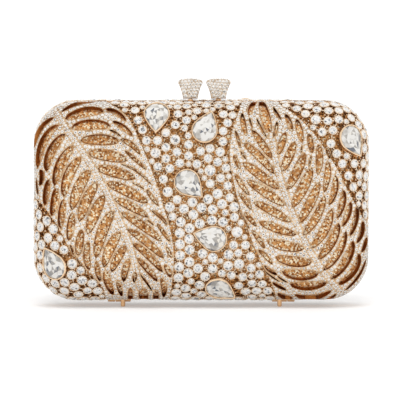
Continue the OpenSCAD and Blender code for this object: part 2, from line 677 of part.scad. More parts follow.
front_half() front_rim_half();  // front_rim
front_half() cage();  // front_cage
front_half() liner();  // front_liner
front_half() lining();  // front_lining
front_half() leaf_left();  // front_leaf_left
front_half() leaf_right();  // front_leaf_right
front_half() pear_bezels();  // front_pear_bezels
front_half() pear_crystals();  // front_pear_crystals
front_half() round_cups();  // front_round_cups
front_half() round_crystals();  // front_round_crystals
back_half() back_rim_half();  // back_rim
back_half() cage();  // back_cage
back_half() liner();  // back_liner
back_half() lining();  // back_lining
back_half() leaf_left();  // back_leaf_left
back_half() leaf_right();  // back_leaf_right
back_half() pear_bezels();  // back_pear_bezels
back_half() pear_crystals();  // back_pear_crystals
back_half() round_cups();  // back_round_cups
back_half() round_crystals();  // back_round_crystals
front_hinge_leaf(-1);  // front_hinge_leaf_left
front_hinge_leaf(1);  // front_hinge_leaf_right
back_hinge_leaf(-1);  // back_hinge_leaf_left
back_hinge_leaf(1);  // back_hinge_leaf_right
hinge_pin(-1);  // hinge_pin_left
hinge_pin(1);  // hinge_pin_right
feet();  // front_feet
rotate([0, 0, 180]) feet();  // back_feet
clasp_socket(-1);  // front_clasp_socket
knob_stem(-1);  // front_knob_stem
knob(-1);  // front_knob
knob_crystals(-1);  // front_knob_crystals
clasp_socket(1);  // back_clasp_socket
knob_stem(1);  // back_knob_stem
knob(1);  // back_knob
knob_crystals(1);  // back_knob_crystals
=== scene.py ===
"""Crystal clutch: the dressed model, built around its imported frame.

Metres, in the part's own frame: X runs to the right, Z is up and the front faces -Y. Each half of the
bag is worked out in its own frame first: X to the right, Y up from the bag's middle, Z outward from the
closing plane. Places that were read from the photograph are pixels of its 400 by 400 frame.
"""

import logging
import math
from collections.abc import Iterator
from dataclasses import dataclass, field
from enum import Enum
from functools import cache
from itertools import islice

import bmesh
import bpy
import numpy as np
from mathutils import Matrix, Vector
from mathutils.geometry import delaunay_2d_cdt


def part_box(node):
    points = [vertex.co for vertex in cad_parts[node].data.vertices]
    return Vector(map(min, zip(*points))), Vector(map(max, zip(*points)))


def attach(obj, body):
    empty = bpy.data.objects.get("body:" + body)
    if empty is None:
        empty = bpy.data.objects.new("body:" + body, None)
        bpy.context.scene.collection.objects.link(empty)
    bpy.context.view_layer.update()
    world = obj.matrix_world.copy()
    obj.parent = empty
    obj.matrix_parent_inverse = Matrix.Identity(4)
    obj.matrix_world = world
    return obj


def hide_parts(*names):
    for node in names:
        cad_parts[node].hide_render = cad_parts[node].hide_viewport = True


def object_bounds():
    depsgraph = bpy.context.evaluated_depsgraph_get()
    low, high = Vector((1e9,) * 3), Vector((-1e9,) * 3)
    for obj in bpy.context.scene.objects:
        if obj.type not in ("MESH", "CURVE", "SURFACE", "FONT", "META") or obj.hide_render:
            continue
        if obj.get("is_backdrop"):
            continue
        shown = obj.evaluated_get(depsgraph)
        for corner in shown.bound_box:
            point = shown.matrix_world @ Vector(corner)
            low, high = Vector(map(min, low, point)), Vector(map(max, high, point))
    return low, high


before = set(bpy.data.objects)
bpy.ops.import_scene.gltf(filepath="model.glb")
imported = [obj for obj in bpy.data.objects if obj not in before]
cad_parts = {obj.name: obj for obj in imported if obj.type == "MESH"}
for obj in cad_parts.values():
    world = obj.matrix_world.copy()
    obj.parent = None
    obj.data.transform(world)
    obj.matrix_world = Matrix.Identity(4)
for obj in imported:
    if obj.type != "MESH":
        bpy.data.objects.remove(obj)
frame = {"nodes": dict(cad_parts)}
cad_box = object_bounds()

log = logging.getLogger("clutch")
MM = 0.001
SEED = 7
# Face attribute that holds how bright each crystal facet's painted reflection is
TONE = "facet_painted_reflection"


def linked(name: str, data: bpy.types.ID) -> bpy.types.Object:
    """A new object in the scene.

    Args:
        name: Its name.
        data: Its mesh, lamp or camera.
    Returns:
        The object.
    """
    made = bpy.data.objects.new(name, data)
    bpy.context.scene.collection.objects.link(made)
    return made


def unit(v: np.ndarray) -> np.ndarray:
    """Vectors of length one, with zero vectors kept."""
    size = np.linalg.norm(v, axis=-1, keepdims=True)
    return v / np.where(size > 0, size, 1)


def left_of(way: np.ndarray) -> np.ndarray:
    """Directions in the plane, a quarter turn to the left of the given ones."""
    return np.column_stack([-way[:, 1], way[:, 0]])


def bent(start: np.ndarray, bend: np.ndarray, end: np.ndarray, t: np.ndarray) -> np.ndarray:
    """Points at shares t of a curve that leaves its start towards the bend and ends from there."""
    return (1 - t) ** 2 * start + 2 * t * (1 - t) * bend + t**2 * end


def grid_over(low: np.ndarray, high: np.ndarray, step: float) -> np.ndarray:
    """Places at even steps over a rectangle, one per row."""
    axes = [np.arange(low[k], high[k], step) for k in range(2)]
    return np.stack(np.meshgrid(*axes), -1).reshape(-1, 2)


def inside(points: np.ndarray, loop: np.ndarray) -> np.ndarray:
    """Which points lie inside a closed outline.

    Args:
        points: Places in the plane, one per row.
        loop: The outline's corners, in order.
    Returns:
        One truth value per point.
    """
    found = np.zeros(len(points), bool)
    near = np.nonzero(((points >= loop.min(0)) & (points <= loop.max(0))).all(1))[0]
    p = points[near]
    odd = np.zeros(len(p), bool)
    for a, b in zip(loop, np.roll(loop, -1, axis=0)):
        if a[1] != b[1]:
            spans = (a[1] > p[:, 1]) != (b[1] > p[:, 1])
            odd ^= spans & (p[:, 0] < (b[0] - a[0]) * (p[:, 1] - a[1]) / (b[1] - a[1]) + a[0])
    found[near] = odd
    return found


def between(points: np.ndarray, outer: np.ndarray, holes: list) -> np.ndarray:
    """Which points lie inside an outline and outside all holes."""
    return np.logical_and.reduce([inside(points, outer), *(~inside(points, hole) for hole in holes)])


def spaced(line: np.ndarray, count: int, closed: bool = True) -> np.ndarray:
    """A line as a number of points at even distances.

    Args:
        line: The line's points, in two or three dimensions.
        count: Number of points wanted.
        closed: Whether the last point joins the first.
    Returns:
        The new points, the first of them where the line starts.
    """
    path = np.vstack([line, line[:1]]) if closed else line
    run = np.concatenate([[0], np.cumsum(np.linalg.norm(np.diff(path, axis=0), axis=1))])
    at = np.linspace(0, run[-1], count, endpoint=not closed)
    return np.column_stack([np.interp(at, run, path[:, k]) for k in range(path.shape[1])])


def resampled(line: np.ndarray, step: float, closed: bool = True) -> np.ndarray:
    """A line with points about a step apart.

    Args:
        line: The line's points.
        step: Distance wanted between points.
        closed: Whether the last point joins the first.
    Returns:
        The new points.
    """
    path = np.vstack([line, line[:1]]) if closed else line
    length = np.linalg.norm(np.diff(path, axis=0), axis=1).sum()
    return spaced(line, max(3, int(round(length / step))), closed)


def area_of(loop: np.ndarray) -> float:
    """Area of a closed outline, negative where it turns right."""
    after = np.roll(loop, -1, axis=0)
    return np.sum(loop[:, 0] * after[:, 1] - after[:, 0] * loop[:, 1]) / 2


def rounded(loop: np.ndarray, passes: int = 2) -> np.ndarray:
    """A closed outline with its corners cut, so that it runs as a curve.

    Args:
        loop: The outline's corners.
        passes: How often the corners are cut.
    Returns:
        The smoother outline.
    """
    loop = np.array(loop, float)
    for _ in range(passes):
        after = np.roll(loop, -1, axis=0)
        loop = np.stack([0.75 * loop + 0.25 * after, 0.25 * loop + 0.75 * after], 1).reshape(-1, 2)
    return loop


def skin(rows: int, count: int, joined: bool = True, closed: bool = True) -> list:
    """Faces between rows of points that follow each other.

    Args:
        rows: Number of rows.
        count: Number of points in each row.
        joined: Whether the last row joins the first.
        closed: Whether each row is a closed line.
    Returns:
        The faces, as tuples of point numbers.
    """
    return [
        (i * count + k, i * count + (k + 1) % count,
         (i + 1) % rows * count + (k + 1) % count, (i + 1) % rows * count + k)
        for i in range(rows if joined else rows - 1) for k in range(count if closed else count - 1)
    ]


def turned(faces: list) -> list:
    """The same faces, seen from their other side."""
    return [face[::-1] for face in faces]


class Half(Enum):
    """The two halves of the bag, which are the same form, turned about Z."""

    FRONT = "front"
    BACK = "back"

    def into_bag(self, points: np.ndarray, mid_z: float) -> np.ndarray:
        """Points of a half's own frame in the bag's frame.

        Args:
            points: Points, one per row.
            mid_z: Height of the bag's middle.
        Returns:
            The points in the bag's frame.
        """
        placed = np.column_stack([points[:, 0], -points[:, 2], points[:, 1] + mid_z])
        return placed if self is Half.FRONT else placed * (-1, -1, 1)


@dataclass
class ShellForm:
    """The metal surface of one half: a flat face that two arcs turn down into a straight side."""

    body_w: float = 180 * MM
    body_h: float = 107 * MM
    body_d: float = 50 * MM
    corner_r: float = 23.5 * MM
    edge_r: float = 14 * MM
    floor_gap: float = 3.6 * MM
    stone_rise: float = 1.4 * MM
    rim_top: float = 3.1 * MM
    meet: float = math.radians(45)

    def __post_init__(self) -> None:
        """Works out the metal outline, its two arcs and the lengths over them."""
        # Half sizes of the metal outline, the flat face in its middle and the band between the two
        self.half_w = self.body_w / 2 - self.stone_rise
        self.half_h = self.body_h / 2 - self.stone_rise
        self.band = self.corner_r - self.stone_rise
        self.face = np.array([self.half_w - self.band, self.half_h - self.band])
        # Radius of each arc, and its centre as distance from the face and height over the closing plane
        self.tight_r = self.edge_r - self.stone_rise
        self.tight_u = self.band - self.tight_r
        self.wide_r = self.tight_u / math.sin(self.meet) + self.tight_r
        self.wide_z = self.body_d / 2 - self.stone_rise - self.wide_r
        self.tight_z = self.wide_z + self.tight_u / math.tan(self.meet)
        # Lengths over the wide arc, over both, and on down the side to the rim
        self.wide_run = self.wide_r * self.meet
        self.arc_run = self.wide_run + self.tight_r * (math.pi / 2 - self.meet)
        self.full_run = self.arc_run + self.tight_z - self.rim_top
        # Height of the bag's middle above the floor
        self.mid_z = self.floor_gap + self.body_h / 2

    def apart(self, xy: np.ndarray) -> tuple[np.ndarray, np.ndarray, np.ndarray]:
        """Nearest point of the flat face, direction from there, and distance.

        Args:
            xy: Places in the plane, one per row.
        Returns:
            The nearest points, the unit directions and the distances.
        """
        foot = np.clip(xy, -self.face, self.face)
        off = xy - foot
        return foot, unit(off), np.linalg.norm(off, axis=1)

    def unroll(self, xy: np.ndarray) -> np.ndarray:
        """Places seen from the front, on the surface rolled out flat.

        Args:
            xy: Places as seen from the front; past the outline they go on down the side.
        Returns:
            The places on the rolled-out surface.
        """
        foot, way, u = self.apart(xy)
        wide = self.wide_r * np.arcsin(np.clip(u / self.wide_r, 0, 1))
        lean = np.arcsin(np.clip((u - self.tight_u) / self.tight_r, 0, 1))
        tight = self.wide_run + self.tight_r * (lean - self.meet)
        run = np.where(u <= self.wide_r * math.sin(self.meet), wide, tight)
        run = run + np.maximum(0, u - self.band)
        return foot + way * run[:, None]

    def height_at(self, u: np.ndarray) -> np.ndarray:
        """Height of the surface over the closing plane.

        Args:
            u: Distances from the flat face as seen from the front.
        Returns:
            The heights.
        """
        u = np.minimum(u, self.band)
        wide = self.wide_z + np.sqrt(np.maximum(0, self.wide_r**2 - u**2))
        tight = self.tight_z + np.sqrt(np.maximum(0, self.tight_r**2 - (u - self.tight_u) ** 2))
        return np.where(u <= self.wide_r * math.sin(self.meet), wide, tight)

    def axes(self, chart: np.ndarray, lift: float = 0) -> tuple[np.ndarray, ...]:
        """Points of the surface with the directions down the slope, across it and outward.

        Args:
            chart: Places on the rolled-out surface.
            lift: Distance outward from the metal surface.
        Returns:
            The points, then the three unit directions at each.
        """
        foot, way, run = self.apart(chart)
        way = np.where(run[:, None] > 0, way, np.array([1.0, 0.0]))
        wide = run <= self.wide_run
        tilt = np.where(wide, run / self.wide_r, self.meet + (run - self.wide_run) / self.tight_r)
        tilt = np.minimum(tilt, math.pi / 2)
        r = np.where(wide, self.wide_r, self.tight_r)
        u = np.where(wide, 0, self.tight_u) + r * np.sin(tilt)
        z = np.where(wide, self.wide_z, self.tight_z) + r * np.cos(tilt)
        z = z - np.maximum(0, run - self.arc_run)
        out = np.column_stack([way * np.sin(tilt)[:, None], np.cos(tilt)])
        down = np.column_stack([way * np.cos(tilt)[:, None], -np.sin(tilt)])
        point = np.column_stack([foot + way * u[:, None], z])
        return point + lift * out, down, np.cross(out, down), out

    def at(self, chart: np.ndarray, lift: float = 0) -> np.ndarray:
        """Points of the surface over places of the rolled-out surface, lifted outward."""
        return self.axes(chart, lift)[0]

    def seat(self, place: np.ndarray, lift: float = 0) -> tuple:
        """Seat of a form over one place: its point, then the directions down, across and outward."""
        return tuple(a[0] for a in self.axes(place[None], lift))

    def offset_of(self, points: np.ndarray) -> np.ndarray:
        """How far points lie outside the metal surface.

        Args:
            points: Points in the half's own frame.
        Returns:
            The signed distances, negative inside.
        """
        _, _, u = self.apart(points[:, :2])
        z = points[:, 2]
        steep = np.arctan2(u, z - self.wide_z)
        wide = np.hypot(u, z - self.wide_z) - self.wide_r
        tight = np.hypot(u - self.tight_u, z - self.tight_z) - self.tight_r
        side = u - self.band
        return np.where(steep <= self.meet, wide, np.where(z >= self.tight_z, tight, side))

    def outward(self, points: np.ndarray, step: float = 0.01 * MM) -> np.ndarray:
        """Directions square to the surface at points near it, measured over a small step."""
        rise = [self.offset_of(points + way) - self.offset_of(points - way) for way in step * np.eye(3)]
        return unit(np.column_stack(rise))

    def settled(self, points: np.ndarray) -> np.ndarray:
        """Points moved square onto the metal surface, as near as one step brings them.

        Args:
            points: Points near the surface.
        Returns:
            The moved points.
        """
        _, way, u = self.apart(points[:, :2])
        lean = np.arctan2(u, points[:, 2] - self.wide_z)
        out = np.column_stack([way * np.sin(lean)[:, None], np.cos(lean)])
        return points - self.offset_of(points)[:, None] * out

    def rim_loop(self) -> np.ndarray:
        """Outline of the rolled-out surface where it meets the rim.

        Returns:
            The outline's points.
        """
        turns = np.radians(np.arange(0, 90, 3))
        corners = [(1, 1, 0), (-1, 1, 90), (-1, -1, 180), (1, -1, 270)]
        return np.array([
            (sx * self.face[0] + self.full_run * math.cos(t + math.radians(start)),
             sy * self.face[1] + self.full_run * math.sin(t + math.radians(start)))
            for sx, sy, start in corners for t in [*turns, math.radians(90)]
        ])


@dataclass(frozen=True)
class PhotoView:
    """Where the bag's edges are in the photograph, and how the camera looks down on it."""

    left_px: float = 33.5
    right_px: float = 369.0
    top_px: float = 100.0
    low_px: float = 299.8
    foot_px: float = 306.5
    frame_px: float = 400.0
    tilt: float = math.radians(5)

    def scale(self, shell: ShellForm) -> float:
        """Metres that one pixel covers."""
        return shell.body_w / (self.right_px - self.left_px)

    def place(self, shell: ShellForm, px: np.ndarray) -> np.ndarray:
        """Places of the bag as seen square from the front, raised by what the camera's tilt hides.

        Args:
            shell: The form of the half.
            px: Pixels, one per row.
        Returns:
            The places in the half's own frame.
        """
        px = np.asarray(px, float).reshape(-1, 2)
        x = ((px[:, 0] - self.left_px) / (self.right_px - self.left_px) - 0.5) * shell.body_w
        y = ((self.low_px - px[:, 1]) / (self.low_px - self.top_px) - 0.5) * shell.body_h
        flat = np.column_stack([x, y])
        found = flat.copy()
        for _ in range(2):
            found[:, 1] = y + math.tan(self.tilt) * shell.height_at(shell.apart(found)[2])
        return found

    def chart(self, shell: ShellForm, px: np.ndarray) -> np.ndarray:
        """Pixels as places on the rolled-out surface."""
        return shell.unroll(self.place(shell, px))


class MeshBuild:
    """Gathers vertices and faces, each face with a tone, and makes one mesh of them; on crystal facets the
    tone is a painted reflection.
    """

    def __init__(self) -> None:
        """Starts empty."""
        self.points: list[np.ndarray] = []
        self.faces: list[tuple[int, ...]] = []
        self.tones: list[float] = []
        self.count = 0

    def add(self, points: np.ndarray, faces: list, tones: list | None = None) -> "MeshBuild":
        """Adds one shell.

        Args:
            points: Its vertices.
            faces: Its faces, as tuples of vertex numbers of this shell.
            tones: One tone per face, from 0 to 1; on crystals, how bright its painted reflection is.
        Returns:
            The gathered mesh itself.
        """
        self.points.append(points)
        self.faces.extend(tuple(self.count + i for i in face) for face in faces)
        self.tones.extend(tones if tones is not None else [0.5] * len(faces))
        self.count += len(points)
        return self

    def mesh(self, name: str, half: Half, mid_z: float, smooth: bool) -> bpy.types.Mesh:
        """The gathered shells as one mesh.

        Args:
            name: Its name.
            half: The half of the bag that it belongs to.
            mid_z: Height of the bag's middle.
            smooth: Whether its faces are shaded as one curve.
        Returns:
            The mesh, in the bag's frame.
        """
        mesh = bpy.data.meshes.new(name)
        mesh.from_pydata(half.into_bag(np.vstack(self.points), mid_z).tolist(), [], self.faces)
        mesh.attributes.new(TONE, "FLOAT", "FACE").data.foreach_set("value", self.tones)
        mesh.polygons.foreach_set("use_smooth", [smooth] * len(self.faces))
        mesh.update()
        return mesh


@dataclass(frozen=True)
class Tone:
    """How bright one kind of facet is painted, as a painted reflection: mean, spread, and the share painted
    dark, as if it threw back something dark.
    """

    mean: float
    spread: float = 0.1
    dark: float = 0.0
    dark_mean: float = 0.2
    dark_spread: float = 0.12

    def pick(self, rng: np.random.Generator) -> float:
        """One facet's tone, dark or bright.

        Args:
            rng: Source of the tone.
        Returns:
            The tone, from 0 to 1.
        """
        if rng.random() < self.dark:
            return float(np.clip(rng.normal(self.dark_mean, self.dark_spread), 0, 1))
        return float(np.clip(rng.normal(self.mean, self.spread), 0, 1))


# How bright each kind of facet is painted: the painted reflections of the crystal facets
TABLE_TONE = Tone(0.74, 0.16, 0.22)
STAR_TONE = Tone(0.60, 0.16, 0.25)
KITE_TONE = Tone(0.82, 0.12, 0.14)
RIM_TONE = Tone(0.66, 0.2, 0.22)
SIDE_TONE = Tone(0.35, 0.15)
METAL_TONE = Tone(0.6, 0.15)
SMALL_TABLE_TONE = Tone(0.34, 0.2)
SMALL_CROWN_TONE = Tone(0.88, 0.12, 0.08)
# Painted reflections of the pear stones' facets between two girdle points, from the middle ring outward and
# then inward
PEAR_TONES = (
    Tone(0.52, 0.16, 0.25), Tone(0.7, 0.16, 0.18), Tone(0.36, 0.12, 0.2), Tone(0.42, 0.14, 0.2),
    Tone(0.74, 0.14, 0.24), Tone(0.6, 0.18, 0.28), Tone(0.78, 0.1, 0.14),
)
# Heights in millimetres; for the rings, their share of the outline and first point come before
PEAR_INSET = (-0.02, -0.05)
PEAR_CENTRE = 0.55
PEAR_GIRDLE = (0.5, 1.15)
PEAR_CROWN = ((0.82, 1, 1.75), (0.60, 0, 2.2), (0.36, 1, 2.42))
PEAR_TOP = 2.5


def toned(kinds: list, rng: np.random.Generator) -> list:
    """A tone for each facet of a form."""
    return [kind.pick(rng) for kind in kinds]


@dataclass
class Stamp:
    """A small form that is set many times: its points have a radius and a height of one."""

    points: np.ndarray
    faces: list
    kinds: list

    def set_in(self, build: MeshBuild, seat: tuple, size: np.ndarray, rng: np.random.Generator,
               spin: float | None = None) -> None:
        """Sets one copy.

        Args:
            build: The mesh that takes it.
            seat: Its point and three directions.
            size: Its radii along the first two directions and its height.
            rng: Source of its turn and tones.
            spin: Its turn about the third direction, or None for any.
        """
        turn = rng.uniform(0, 2 * math.pi) if spin is None else spin
        c, s = math.cos(turn), math.sin(turn)
        p, a, b, n = seat
        local = self.points * size
        x = local[:, 0] * c - local[:, 1] * s
        y = local[:, 0] * s + local[:, 1] * c
        placed = p + np.outer(x, a) + np.outer(y, b) + np.outer(local[:, 2], n)
        build.add(placed, self.faces, toned(self.kinds, rng))


def ring(count: int, r: float, z: float, start: float = 0) -> np.ndarray:
    """Points round a circle, start given in steps."""
    turn = (np.arange(count) + start) * 2 * math.pi / count
    return np.column_stack([r * np.cos(turn), r * np.sin(turn), np.full(count, z)])


def brilliant(mains: int = 8, girdle: float = 0.35, table_r: float = 0.5, star_r: float = 0.76,
              star_z: float = 0.62, peak: float = 1.01) -> Stamp:
    """A round cut stone: table in eight reflections, stars, kites and sixteen halves at the girdle.

    Args:
        mains: Number of its main facets.
        girdle: Height of the girdle, as a share.
        table_r: Radius of the table, as a share.
        star_r: Radius of the stars' outer points, as a share.
        star_z: Height of those points between girdle and table, as a share.
        peak: Height of the table's middle, as a share.
    Returns:
        The stone.
    """
    halves = 2 * mains
    star = ring(mains, star_r, girdle + (1 - girdle) * star_z, 0.5)
    table = [ring(mains, table_r, 1), [[0, 0, peak]]]
    g, s, t = halves, 2 * halves, 2 * halves + mains
    faces, kinds = [], []
    for k in range(mains):
        after, before = (k + 1) % mains, (k - 1) % mains
        faces += [
            (t + k, t + after, t + mains), (t + k, s + k, t + after),
            (t + k, s + before, g + 2 * k, s + k),
            (s + k, g + 2 * k, g + 2 * k + 1), (s + k, g + 2 * k + 1, g + (2 * k + 2) % halves),
        ]
        kinds += [TABLE_TONE, STAR_TONE, KITE_TONE, RIM_TONE, RIM_TONE]
    faces += [*skin(2, halves, joined=False), tuple(range(halves - 1, -1, -1))]
    kinds += [SIDE_TONE] * (halves + 1)
    return Stamp(np.vstack([ring(halves, 1, 0), ring(halves, 1, girdle), star, *table]), faces, kinds)


def small_cut(sides: int = 8, girdle: float = 0.45, table_r: float = 0.42) -> Stamp:
    """A small stone for pavement: a table painted dark inside a crown painted bright, as painted
    reflections.

    Args:
        sides: Number of crown facets.
        girdle: Height of the girdle, as a share.
        table_r: Radius of the table, as a share.
    Returns:
        The stone.
    """
    rings = [ring(sides, 1, 0), ring(sides, 1, girdle), ring(sides, table_r, 1)]
    walls = skin(3, sides, joined=False)
    faces, kinds = [tuple(range(2 * sides, 3 * sides))], [SMALL_TABLE_TONE]
    for k in range(sides):
        faces += [walls[sides + k], walls[k]]
        kinds += [SMALL_CROWN_TONE, SIDE_TONE]
    return Stamp(np.vstack(rings), [*faces, tuple(range(sides - 1, -1, -1))], [*kinds, SIDE_TONE])


def bead(sides: int, rows: int, foot: float = -0.4) -> Stamp:
    """A bead of metal, round on top.

    Args:
        sides: Number of faces round it.
        rows: Number of faces from its foot to its top.
        foot: Height of its foot, as a share.
    Returns:
        The bead.
    """
    leans = [math.pi / 2 * j / rows for j in range(rows)]
    rings = [ring(sides, 1, foot), *(ring(sides, math.cos(lean), math.sin(lean)) for lean in leans)]
    faces = skin(rows + 1, sides, joined=False)
    edge, top = rows * sides, (rows + 1) * sides
    faces += [(edge + k, edge + (k + 1) % sides, top) for k in range(sides)]
    faces.append(tuple(range(sides - 1, -1, -1)))
    return Stamp(np.vstack([*rings, [[0, 0, 1]]]), faces, [METAL_TONE] * len(faces))


def lathe(profile: list, sides: int) -> Stamp:
    """A closed ring from its section.

    Args:
        profile: The section's corners as radius and height, in order.
        sides: Number of faces round it.
    Returns:
        The ring.
    """
    faces = skin(len(profile), sides)
    return Stamp(np.vstack([ring(sides, r, z) for r, z in profile]), faces, [METAL_TONE] * len(faces))


def bar(sides: int = 5) -> Stamp:
    """A bar of metal along X, half round on top.

    Args:
        sides: Number of points across its top.
    Returns:
        The bar.
    """
    turn = np.linspace(0, math.pi, sides)
    section = np.column_stack([np.cos(turn), np.sin(turn)])
    points = np.vstack([np.column_stack([np.full(sides, x), section]) for x in (-1, 1)])
    faces = [(k, k + 1, sides + k + 1, sides + k) for k in range(sides - 1)]
    faces.append((sides - 1, 0, sides, 2 * sides - 1))
    faces += [tuple(range(sides - 1, -1, -1)), tuple(range(sides, 2 * sides))]
    return Stamp(points, faces, [METAL_TONE] * len(faces))


class Room:
    """Candidate places on the surface, each with the distance to the two nearest things around it."""

    def __init__(self, chart: np.ndarray, points: np.ndarray, reach: float) -> None:
        """Takes the candidates.

        Args:
            chart: Candidate places in the plane of a layout.
            points: The same places in space.
            reach: Distance beyond which one thing doesn't matter to another.
        """
        order = np.argsort(chart[:, 1], kind="stable")
        self.chart = chart[order]
        self.points = points[order]
        self.reach = reach
        self.first = np.full(len(chart), np.inf)
        self.second = np.full(len(chart), np.inf)

    def put(self, distance: np.ndarray, where: np.ndarray | slice = slice(None)) -> None:
        """Takes one more thing into account.

        Args:
            distance: Its distance from each of the candidates.
            where: The candidates that it can matter to.
        """
        first = self.first[where]
        self.second[where] = np.minimum(self.second[where], np.maximum(first, distance))
        self.first[where] = np.minimum(first, distance)

    def keep_from(self, line: np.ndarray, batch: int = 4_000_000) -> None:
        """Keeps clear of a line given by close points.

        Args:
            line: The points.
            batch: How many distances are worked out at a time.
        """
        low, high = line.min(0) - self.reach, line.max(0) + self.reach
        near = np.nonzero(((self.points > low) & (self.points < high)).all(1))[0]
        for part in np.array_split(near, max(1, len(near) * len(line) // batch)):
            if len(part):
                apart = np.linalg.norm(self.points[part, None] - line[None], axis=2).min(1)
                self.put(apart, part)

    def take(self, i: int, radius: float) -> None:
        """Puts a round thing on a candidate.

        Args:
            i: The candidate's number.
            radius: The thing's radius.
        """
        across = self.chart[i, 1] + np.array([-1, 1]) * (self.reach + radius)
        near = slice(*np.searchsorted(self.chart[:, 1], across))
        self.put(np.linalg.norm(self.points[near] - self.points[i], axis=1) - radius, near)

    def nestle(self, radius: float) -> int | None:
        """The candidate with room for a radius that lies closest between two things.

        Args:
            radius: The radius that must fit.
        Returns:
            The candidate's number, or None if nothing fits.
        """
        fits = np.nonzero(self.first >= radius)[0]
        if len(fits) == 0:
            return None
        return int(fits[np.argmin(self.second[fits] + 0.5 * self.first[fits])])

    def packed(self, radius: float, taken: float) -> Iterator[int]:
        """Candidates taken one after the other for as long as there is room.

        Args:
            radius: The radius that must fit.
            taken: The radius that each one takes up for those after it.
        Yields:
            The numbers of the candidates.
        """
        while (i := self.nestle(radius)) is not None:
            self.take(i, taken)
            yield i

    def filled(self, size: float, needs: float, takes: float) -> list:
        """Places for things of one size, as many as there is room for, each with that size."""
        return [(self.chart[i], size) for i in self.packed(needs, takes)]

    def near(self, point: np.ndarray, reach: float) -> int | None:
        """The roomiest candidate close to a point.

        Args:
            point: The point.
            reach: How far off it may be.
        Returns:
            The candidate's number, or None.
        """
        close = np.nonzero(np.linalg.norm(self.points - point, axis=1) < reach)[0]
        return int(close[np.argmax(self.first[close])]) if len(close) else None


def sheet_mesh(shell: ShellForm, outer: np.ndarray, holes: list, low: float, high: float,
               grid: float) -> tuple[np.ndarray, list]:
    """A plate that follows the surface, with holes right through it.

    Args:
        shell: The form of the half.
        outer: The plate's outline on the rolled-out surface.
        holes: Outlines of its holes.
        low: Its inner face, as a distance from the metal surface.
        high: Its outer face, likewise.
        grid: Distance of the points that carry its curve.
    Returns:
        Its vertices, those of the outer face first, and its faces.
    """
    loops = [outer, *holes]
    spread = grid_over(outer.min(0), outer.max(0), grid)
    edges, start = [], 0
    for loop in loops:
        edges += [(start + i, start + (i + 1) % len(loop)) for i in range(len(loop))]
        start += len(loop)
    points = np.vstack([*loops, spread[inside(spread, outer)]]) / MM
    found = delaunay_2d_cdt([Vector(p) for p in points.tolist()], edges, [], 0, 1e-4, False)
    flat = np.array([tuple(v) for v in found[0]]) * MM
    triangles = np.array(found[2])
    keep = between(flat[triangles].mean(1), outer, holes)
    used, triangles = np.unique(triangles[keep], return_inverse=True)
    flat, n = flat[used], len(used)
    faces = [tuple(t) for t in triangles.reshape(-1, 3).tolist()]
    sides = {(a, b) for t in faces for a, b in ((t[0], t[1]), (t[1], t[2]), (t[2], t[0]))}
    walls = [(b, a, n + a, n + b) for a, b in sides if (b, a) not in sides]
    faces += [(n + a, n + c, n + b) for a, b, c in faces]
    return np.vstack([shell.at(flat, high), shell.at(flat, low)]), faces + turned(walls)


@dataclass(frozen=True)
class LeafPattern:
    """A leaf as the photograph shows it: outline, spine and the gaps between its ribs, in pixels."""

    name: str
    outline: tuple
    spine: tuple
    gaps: tuple


